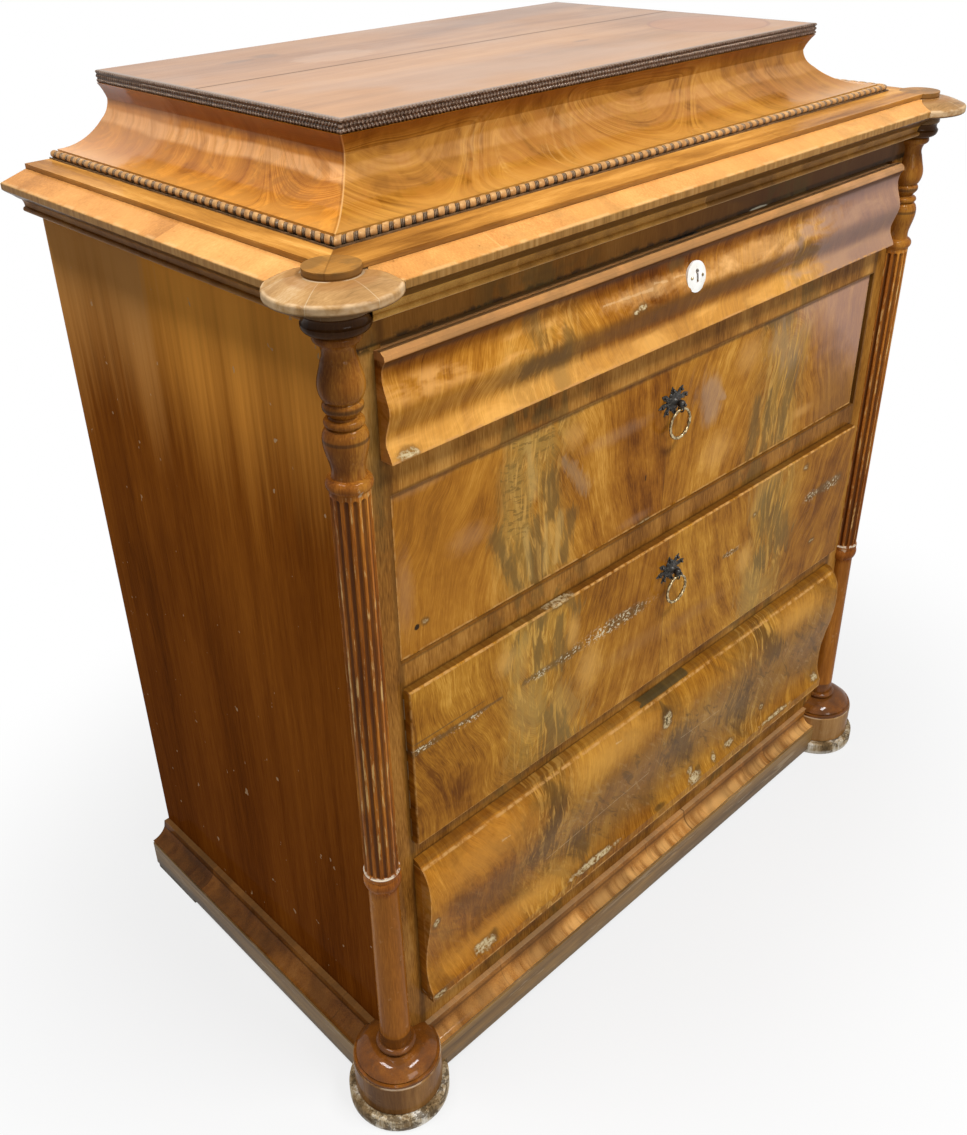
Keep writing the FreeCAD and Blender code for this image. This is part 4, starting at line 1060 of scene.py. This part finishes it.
def pine(name, axes, *names):
    """Unpolished softwood: axes says which way each part of the grain's place runs."""
    finish = Finish(name)
    place = {"x": finish.x, "y": finish.y, "z": finish.z}
    at = finish.join(*(place[axis] for axis in axes))
    if name == "pine_frame":
        low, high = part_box("back_frame")
        stiles = step(finish.x.abs(), high.x - stile_width, high.x - stile_width + 0.0002)
        muntin_height = high.z - low.z - 2 * stile_width
        muntin = band(finish.x, 0.0, stile_width, 0.0002)
        muntin = muntin * band(finish.z, (low.z + high.z) / 2, muntin_height, 0.0002)
        at = finish.blend(stiles.larger(muntin), at, finish.join(finish.x, finish.y, finish.z))
    late = finish.noise((60, 20, 1.4), 2.0, 0.4, 0.6, at=at)
    fibres = finish.noise((500, 300, 14), 2.0, 0.6, at=at)
    age = finish.noise(4, 3.0, 0.6, at=at)
    tone = 0.5 + (late - 0.5) * 1.5 + (fibres - 0.5) * 0.3
    finish.colour = finish.ramp(tone, [(0.35, (0.6, 0.42, 0.22)), (0.58, (0.5, 0.31, 0.13)),
                                       (0.75, (0.36, 0.19, 0.07))])
    finish.paint(step(age, 0.4, 0.7) * 0.45, (0.27, 0.18, 0.1))
    normal = finish.bump(fibres + late, 0.0004, 0.5)
    dress(finish.done(0.78, Normal=normal, Specular_IOR_Level=0.25), *names)


def of_each_drawer(*parts):
    """The names of the same parts of all four drawers."""
    return ["drawer_%d_%s" % (number, part) for part in parts for number in (1, 2, 3, 4)]


pine("pine_lengthwise", "zyx", "carcase_top", "bottom_board", "raised_box_back",
     *of_each_drawer("back"))
pine("pine_upright", "xyz", "back_panel")
pine("pine_frame", "zyx", "back_frame")
pine("pine_deep", "xzy", "drawer_runners", "drawer_guides", "drawer_stops",
     *of_each_drawer("sides", "bottom"))

# %% [markdown]
# ## Porcelain, steel, brass and iron
# The key plate is glazed porcelain: a soft white with the faintest stains under a hard, wet
# shine. The locks are dull steel with a brown bloom of rust. The pulls are a blackened iron
# casting with a brass ring that is bright only where fingers touch it.

# %% Small hardware
finish = Finish("glazed_porcelain")
cloud = finish.noise(90, 3.0)
finish.colour = finish.ramp(cloud, [(0.35, (0.74, 0.72, 0.66)), (0.6, (0.84, 0.83, 0.79))])
dust = step(finish.noise(420, 2.0), 0.66, 0.72)
finish.paint(dust * 0.4, (0.35, 0.28, 0.2))
dress(finish.done(0.16, Normal=finish.bump(cloud, 0.0003, 0.4), Coat_Weight=0.4,
                  Coat_Roughness=0.03), "escutcheon")

finish = Finish("dull_steel")
rust = finish.noise(160, 4.0, 0.65)
finish.colour = finish.ramp(rust, [(0.4, (0.34, 0.32, 0.29)), (0.62, (0.17, 0.11, 0.07))])
roughness = 0.35 + step(rust, 0.4, 0.65) * 0.35
bright_steel = 1 - step(rust, 0.5, 0.7) * 0.7
dress(finish.done(roughness, Metallic=bright_steel, Normal=finish.bump(rust, 0.0002, 0.6)),
      "lock_1", "lock_4", "bolt_1", "bolt_4")


def brass(name):
    """Old brass: bright where it is rubbed, and brown where it isn't."""
    finish = Finish(name)
    tarnish = finish.noise(190, 4.0, 0.6)
    dull = step(tarnish, 0.42, 0.56)
    finish.colour = finish.blend(dull * 0.85, (0.6, 0.48, 0.27), (0.1, 0.065, 0.028))
    return finish.done(0.26 + dull * 0.25, Metallic=1.0,
                       Normal=finish.bump(tarnish, 0.00012, 0.5))


brass_finish = brass("old_brass")
dress(brass_finish, "escutcheon_pins")

finish = Finish("blackened_iron")
scale = finish.noise(330, 4.0, 0.65)
finish.colour = finish.ramp(scale, [(0.4, (0.014, 0.012, 0.01)), (0.6, (0.04, 0.036, 0.03)),
                                    (0.74, (0.14, 0.13, 0.11))])
iron_finish = finish.done(0.3 + scale * 0.2, Metallic=0.55, Specular_IOR_Level=0.5,
                          Normal=finish.bump(scale, 0.0002, 0.6))

# %% [markdown]
# ## Carved runs: beads and ripples
# A row of beads lies at the foot of the hollow and a rippled strip round the top board. Both
# are one section swept along three sides. The section changes as it goes: a bead's radius
# swells and shrinks, and a ripple's face moves in and out. Sweeping by our own loop, instead of
# an array of beads, keeps each run one clean mesh with true mitres.


# %% Sweep a section round three sides
def three_side_point(along, out, up, half, front, rear):
    """A point of a run: along is 0 in the middle of the front, out is proud of its face."""
    if abs(along) <= half:
        return (along / half * (half + out), front - out, up)
    share = (abs(along) - half) / (rear - front)
    y = (front - out) + share * (rear - front + out)
    return (math.copysign(half + out, along), y, up)


def three_runs(half, front, rear, pitch, parts=1):
    """Where each of the three sides begins and ends, and how many steps fit it."""
    length = rear - front
    for begin, end in ((-half - length, -half), (-half, half), (half, half + length)):
        yield begin, end, round((end - begin) / pitch * parts)


def skin(shape, rings, joined=False):
    """Faces from ring to ring of points: the ends are capped, or joined to each other."""
    following_rings = rings[1:] + rings[:1] if joined else rings[1:]
    for before, after in zip(rings, following_rings):
        for index, corner in enumerate(before):
            following = (index + 1) % len(before)
            shape.faces.new((corner, before[following], after[following], after[index]))
    if not joined:
        shape.faces.new(rings[0])
        shape.faces.new(list(reversed(rings[-1])))


def sweep(shape, stations, section, half, front, rear):
    """Skins the rings of section(along) points at each station."""
    rings = []
    for along in stations:
        rings.append([shape.verts.new(three_side_point(along, out, up, half, front, rear))
                      for out, up in section(along)])
    skin(shape, rings)


def piece_from(shape, name, material, body, replaced, sharp_angle=0.7):
    """Turns a bmesh into an object that stands for a frame node."""
    bmesh.ops.recalc_face_normals(shape, faces=shape.faces)
    mesh = bpy.data.meshes.new(name)
    shape.to_mesh(mesh)
    shape.free()
    mesh.polygons.foreach_set("use_smooth", [True] * len(mesh.polygons))
    mesh.set_sharp_from_angle(angle=sharp_angle)
    mesh.materials.append(material)
    piece = bpy.data.objects.new(name, mesh)
    scene.collection.objects.link(piece)
    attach(piece, body)
    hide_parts(replaced)
    print(name, "has", len(mesh.polygons), "faces")
    return piece


# %% Bead row
bead_low, bead_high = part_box("bead_moulding")
bead_half = bead_high.x
bead_front = bead_low.y
bead_rear = bead_high.y
bead_floor = bead_low.z
bead_middle = 0.0058
barrel_radius = 0.0043
bead_lift = bead_high.z - bead_floor - barrel_radius
front_beads = 69
bead_pitch = 2 * bead_half / front_beads
bead_oval = 1.08
barrel = [(0.0, 0.003), (0.03, 0.0038), (0.1, 0.0042), (0.33, barrel_radius), (0.56, 0.0042),
          (0.63, 0.0038), (0.66, 0.003), (0.69, 0.0028), (0.72, 0.0035), (0.75, 0.0038),
          (0.78, 0.0035), (0.82, 0.0028), (0.86, 0.0035), (0.89, 0.0038), (0.92, 0.0035),
          (0.97, 0.0028)]
bead_sides = 14


def bead_stations():
    """Each station along the run, with the radius there."""
    for begin, end, count in three_runs(bead_half, bead_front, bead_rear, bead_pitch):
        for number in range(count):
            for share, radius in barrel:
                yield begin + (number + share) * (end - begin) / count, radius
    yield bead_half + (bead_rear - bead_front), barrel[0][1]


radius_at = dict(bead_stations())


def bead_section(along):
    """A circle of points, a little wider than high."""
    radius = radius_at[along]
    turns = [2 * math.pi * index / bead_sides for index in range(bead_sides)]
    return [(-bead_middle + radius * bead_oval * math.cos(turn), bead_floor + bead_lift
             + radius * math.sin(turn)) for turn in turns]


def fillet_section(along):
    """The flat strip that the beads lie on, with a thin lip at its back."""
    outline = [(0.0, 0.0), (0.0, 0.0016), (-0.0009, 0.0016), (-0.0013, 0.0006), (-0.0102, 0.0006),
               (-0.0106, 0.003), (-0.0115, 0.003), (-0.0115, 0.0)]
    return [(out, bead_floor + up) for out, up in outline]


finish, x, y, z = start("bead_wood")
run, outwards, side, mitre = round_three_sides(finish)
axis_out = (-bead_front - bead_middle) * (1 - side) + (bead_half - bead_middle) * side
from_middle = finish.length(outwards - axis_out, z - (bead_floor + bead_lift))
side_count = round((bead_rear - bead_front) / bead_pitch)
inset = (outwards + bead_front) * (1 - side) + (outwards - bead_half) * side
front_place = (x / (bead_half + inset) + 1) * bead_half / bead_pitch
from_corner = (y - bead_front + inset) / (bead_rear - bead_front + inset)
left_side = 1 - step(x, -0.01, 0.01)
side_place = (from_corner * (1 - left_side) + (1 - from_corner) * left_side) * side_count
share = (front_place * (1 - side) + side_place * side).math("FRACT")
barrel_mask = band(share, 0.33, 0.54, 0.05)
on_bead = 1 - step(from_middle, 0.0048, 0.005)
proud = barrel_mask * on_bead
# Painted highlight on the crests of the reels.
ring_crest = band(share, 0.75, 0.02, 0.02).larger(band(share, 0.89, 0.02, 0.02))
tone = finish.noise(160, 3.0)
pale = finish.ramp(tone, [(0.3, (0.29, 0.14, 0.045)), (0.55, (0.41, 0.222, 0.082)),
                          (0.75, (0.5, 0.3, 0.125))])
dark = finish.ramp(tone, [(0.35, (0.075, 0.044, 0.022)), (0.7, (0.17, 0.1, 0.05))])
finish.colour = finish.blend(proud, dark, pale)
finish.paint(ring_crest * 0.55 * on_bead, (0.46, 0.36, 0.26))
inner_line = 1 - step(outwards - axis_out, -0.005, -0.0046)
finish.paint(inner_line * 0.6, (0.46, 0.26, 0.09))
bead_finish = polish(finish, tone, shine=0.08, gloss=0.4, level=0.1)

shape = bmesh.new()
sweep(shape, [along for along, radius in bead_stations()], bead_section, bead_half, bead_front,
      bead_rear)
side_end = bead_half + bead_rear - bead_front
sweep(shape, [-side_end, -bead_half, bead_half, side_end], fillet_section, bead_half, bead_front,
      bead_rear)
piece_from(shape, "bead_row", bead_finish, "case", "bead_moulding")

# %% Ripple strip
ripple_low, ripple_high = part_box("ripple_moulding")
ripple_half = ripple_high.x
ripple_front = ripple_low.y
ripple_rear = ripple_high.y
ripple_floor = ripple_low.z
ripple_height = ripple_high.z - ripple_low.z
ripple_deep = 0.006
ripple_pitch = 0.0047
ripple_steps = 6
ripple_rows = [(0.0023, 0.0022, 0.0015, 0.0, 0.3), (0.0069, 0.0023, 0.0015, 0.5, -0.3),
               (0.0116, 0.0018, 0.001, 0.0, 0.6)]
row_turns = [-68, -40, -12, 16, 44, 70]


def ripple_section(along):
    """Three rounded rows: each is (height, radius, ripple depth, start, slant)."""
    corner_gap = abs(abs(along) - ripple_half)
    fade = min(1.0, corner_gap / ripple_pitch)
    points = [(-ripple_deep, 0.0), (-0.0026, 0.0)]
    for height, radius, depth, start, slant in ripple_rows:
        for degrees in row_turns:
            angle = math.radians(degrees)
            phase = along / ripple_pitch + start + slant * degrees / 180
            cut = depth * (1 - abs(math.cos(math.pi * phase))) * fade
            reach = radius - cut
            points.append((reach * math.cos(angle) - radius, height + reach * math.sin(angle)))
    points.append((-0.003, ripple_height))
    points.append((-ripple_deep, ripple_height))
    return [(out, ripple_floor + up) for out, up in points]


def ripple_stations():
    """Each station along the run, several to a ripple."""
    for begin, end, count in three_runs(ripple_half, ripple_front, ripple_rear, ripple_pitch,
                                        ripple_steps):
        for number in range(count):
            yield begin + number * (end - begin) / count
    yield ripple_half + (ripple_rear - ripple_front)


finish, x, y, z = start("rippled_ebony")
run, outwards, side, mitre = round_three_sides(finish)
# Painted highlight on the proud parts of the ripples.
proud = step(outwards - (ripple_half * side - ripple_front * (1 - side)), -0.0011, -0.0001)
tone = finish.noise(260, 3.0)
finish.colour = finish.ramp(tone, [(0.35, (0.03, 0.014, 0.008)), (0.6, (0.075, 0.036, 0.02))])
finish.paint(proud * step(tone, 0.38, 0.6) * 0.6, (0.24, 0.18, 0.14))
top_dust = step(z, ripple_floor + 0.0125, ripple_floor + 0.0134)
finish.paint(top_dust * 0.45, (0.26, 0.18, 0.12))
ripple_finish = polish(finish, tone, shine=0.25, level=0.4)

shape = bmesh.new()
sweep(shape, list(ripple_stations()), ripple_section, ripple_half, ripple_front, ripple_rear)
piece_from(shape, "ripple_strip", ripple_finish, "case", "ripple_moulding", 1.2)

# %% [markdown]
# ## The pulls
# Each pull is a small casting: eight leafy arms with a bead near each tip round a domed middle,
# a knob on a post, and an eye below it. The ring that hangs in the eye is plain at the top and
# twisted like rope below, where fingers hold it. Everything round is turned from an outline.


# %% Turned shapes and arms
leaf_section = [(-1.0, 0.0), (-0.9, 0.35), (-0.3, 0.7), (0.0, 1.0), (0.3, 0.7), (0.9, 0.35),
                (1.0, 0.0)]


def turned(shape, outline, origin, sides=20):
    """Turns (radius, reach) points about an axis that runs out from the front, towards -y."""
    rings = []
    for radius, reach in outline:
        ring = []
        for index in range(sides):
            angle = 2 * math.pi * index / sides
            ring.append(shape.verts.new((origin[0] + radius * math.cos(angle), origin[1] - reach,
                                         origin[2] + radius * math.sin(angle))))
        rings.append(ring)
    skin(shape, rings)


def ball_outline(radius, reach, steps=7):
    """An outline of nearly a whole ball whose middle is at a reach."""
    turns = [math.pi * (index + 0.35) / (steps - 0.3) for index in range(steps)]
    return [(radius * math.sin(turn), reach - radius * math.cos(turn)) for turn in turns]


def leaf_arm(shape, origin, tip_x, tip_z):
    """A pointed leaf with a ridge along its middle, from the plate's middle to its tip."""
    length = math.hypot(tip_x, tip_z)
    ahead = Vector((tip_x / length, 0, tip_z / length))
    sideways = Vector((-ahead.z, 0, ahead.x))
    outline = [(0.1, 0.0036, 0.003), (0.34, 0.003, 0.0028), (0.52, 0.0021, 0.0022),
               (0.7, 0.0034, 0.0024), (0.86, 0.0036, 0.0022), (1.0, 0.0022, 0.0018),
               (1.16, 0.0004, 0.001)]
    rings = []
    for share, half_width, high in outline:
        middle = Vector(origin) + ahead * length * share
        across = [(half_width * wide, high * tall) for wide, tall in leaf_section]
        rings.append([shape.verts.new(middle + sideways * aside + Vector((0, -reach, 0)))
                      for aside, reach in across])
    skin(shape, rings)


def loop(shape, centre, plane, major, radius_of, steps, sides):
    """A closed ring of wire: plane names its two axes, and radius_of gives its thickness."""
    rings = []
    for step_index in range(steps):
        turn = 2 * math.pi * step_index / steps
        outward = plane[0] * math.cos(turn) + plane[1] * math.sin(turn)
        normal = plane[0].cross(plane[1])
        ring = []
        for index in range(sides):
            angle = 2 * math.pi * index / sides
            thick = radius_of(turn, angle)
            ring.append(shape.verts.new(Vector(centre) + outward * (major + thick * math.cos(angle))
                                        + normal * thick * math.sin(angle)))
        rings.append(ring)
    skin(shape, rings, joined=True)


# %% Castings and rings
along_x = Vector((1, 0, 0))
along_y = Vector((0, 1, 0))
along_z = Vector((0, 0, 1))
plate_drop = 0.0204
arm_count = 8
arm_start = 8
bud_start = 30
arm_reach_x = 0.0245
arm_reach_z = 0.0165
bud_reach_x = 0.0112
bud_reach_z = 0.0098
knob_share = 0.9
eye_drop = 0.0067
eye_reach = 0.0124
eye_radius = 0.0036
eye_wire = 0.00095
ring_radius = 0.0186
ring_wire = 0.0017


def rope_thickness(turn, angle):
    """Plain wire at the top of a ring, and a thicker twist of two strands at the bottom."""
    low = max(0.0, min(1.0, 0.5 - 1.1 * math.sin(turn) + 0.35 * math.cos(turn)))
    twist = 0.5 + 0.5 * math.cos(2 * (angle - 9 * turn))
    return ring_wire * (1 + low * (0.34 * twist - 0.04))


for number in (2, 3):
    plate_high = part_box("ring_plate_%d" % number)[1]
    face = plate_high.y
    middle_z = plate_high.z - plate_drop
    origin = (0.0, face, middle_z)
    shape = bmesh.new()
    turned(shape, [(0.0105, 0.0), (0.0103, 0.0014), (0.0085, 0.0026), (0.006, 0.0034),
                   (0.0046, 0.0052), (0.0034, 0.0075), (0.003, 0.01), (0.0034, 0.0125)], origin)
    turned(shape, ball_outline(0.005, eye_reach), origin)
    turned(shape, ball_outline(0.0022, eye_reach + 0.0052, 6), origin, 14)
    for arm in range(arm_count):
        angle = math.radians(360 / arm_count * arm + arm_start)
        tip = (arm_reach_x * math.cos(angle), arm_reach_z * math.sin(angle))
        leaf_arm(shape, origin, *tip)
        knob = (origin[0] + tip[0] * knob_share, face, middle_z + tip[1] * knob_share)
        turned(shape, ball_outline(0.0019, 0.0026, 6), knob, 12)
        inner = math.radians(360 / arm_count * arm + bud_start)
        bud = (bud_reach_x * math.cos(inner), face, middle_z + bud_reach_z * math.sin(inner))
        turned(shape, [(0.003, 0.0), (0.0028, 0.0012), (0.0016, 0.0022), (0.0004, 0.0026)], bud, 12)
    eye = (0.0, face - eye_reach, middle_z - eye_drop)
    loop(shape, eye, (along_y, along_z), eye_radius, lambda turn, angle: eye_wire, 24, 8)
    piece_from(shape, "cast_rosette_%d" % number, iron_finish, "drawer_%d" % number,
               "ring_plate_%d" % number)
    shape = bmesh.new()
    ring_centre = (0.0, eye[1], eye[2] - ring_radius)
    loop(shape, ring_centre, (along_x, along_z), ring_radius, rope_thickness, 120, 12)
    piece_from(shape, "twisted_ring_%d" % number, brass_finish, "ring_%d" % number,
               "ring_%d" % number, 1.2)

# %% [markdown]
# ## Light and floor
# Ceiling lamps and a window light the chest at a plain level. The surroundings are white to
# the camera and to reflections, which the Light Path node tells apart from the light that
# falls on the wood. The floor turns to white away from the chest and keeps its shadow near it.


# %% Lamps
def lamp(name, place, aim, width, height, power):
    """A rectangular lamp at a place, turned to the point it aims at."""
    data = bpy.data.lights.new(name, "AREA")
    data.shape = "RECTANGLE"
    data.size = width
    data.size_y = height
    data.energy = power
    light = bpy.data.objects.new(name, data)
    light.location = place
    light.rotation_euler = (Vector(aim) - Vector(place)).to_track_quat("-Z", "Y").to_euler()
    scene.collection.objects.link(light)


lamp("ceiling_front", (0.3, -1.4, 2.9), (0, -0.1, 0.7), 1.1, 0.4, 62)
lamp("ceiling_left", (-1.2, 0.2, 3.0), (-0.1, 0, 0.9), 1.0, 0.4, 48)
lamp("window_front", (-0.5, -3.2, 2.2), (0, 0, 0.7), 1.4, 0.9, 24)


def seen_directly(network):
    """1 for rays from the camera, a reflection or clear glass, and 0 for light on a surface."""
    path = network.add("ShaderNodeLightPath").socket.node.outputs
    camera_ray = Wire(network, path["Is Camera Ray"])
    glossy_ray = Wire(network, path["Is Glossy Ray"])
    clear_ray = Wire(network, path["Is Transmission Ray"])
    return camera_ray.larger(glossy_ray).larger(clear_ray)


ambient = 0.22
world = bpy.data.worlds.new("surroundings")
world.use_nodes = True
around = Network(world.node_tree)
strength = ambient + seen_directly(around) * (1 - ambient)
background = around.add("ShaderNodeBackground", inputs={"Color": (1, 1, 1), "Strength": strength})
world_end = around.tree.nodes.new("ShaderNodeOutputWorld")
around.tree.links.new(background.socket, world_end.inputs["Surface"])
scene.world = world

# %% Floor
floor_mesh = bpy.data.meshes.new("floor")
floor_half = 12.0
corners = [(-floor_half, -floor_half, 0), (floor_half, -floor_half, 0),
           (floor_half, floor_half, 0), (-floor_half, floor_half, 0)]
floor_mesh.from_pydata(corners, [], [(0, 1, 2, 3)])
floor = bpy.data.objects.new("floor", floor_mesh)
scene.collection.objects.link(floor)
finish, x, y, z = start("white_floor")
from_chest = finish.length(x * 0.75, y)
near_white = 0.74
whiteness = near_white + (1 - near_white) * step(from_chest, 0.42, 0.95)
painted = finish.add("ShaderNodeBsdfDiffuse", inputs={"Color": (0.62, 0.62, 0.62)})
white = finish.add("ShaderNodeEmission", inputs={"Color": (1, 1, 1), "Strength": 1.0})
mixed = finish.add("ShaderNodeMixShader", inputs={
    0: whiteness * seen_directly(finish), 1: painted, 2: white})
floor_end = finish.tree.nodes.new("ShaderNodeOutputMaterial")
finish.tree.links.new(mixed.socket, floor_end.inputs["Surface"])
floor_mesh.materials.append(finish.material)

scene.view_settings.view_transform = "Standard"
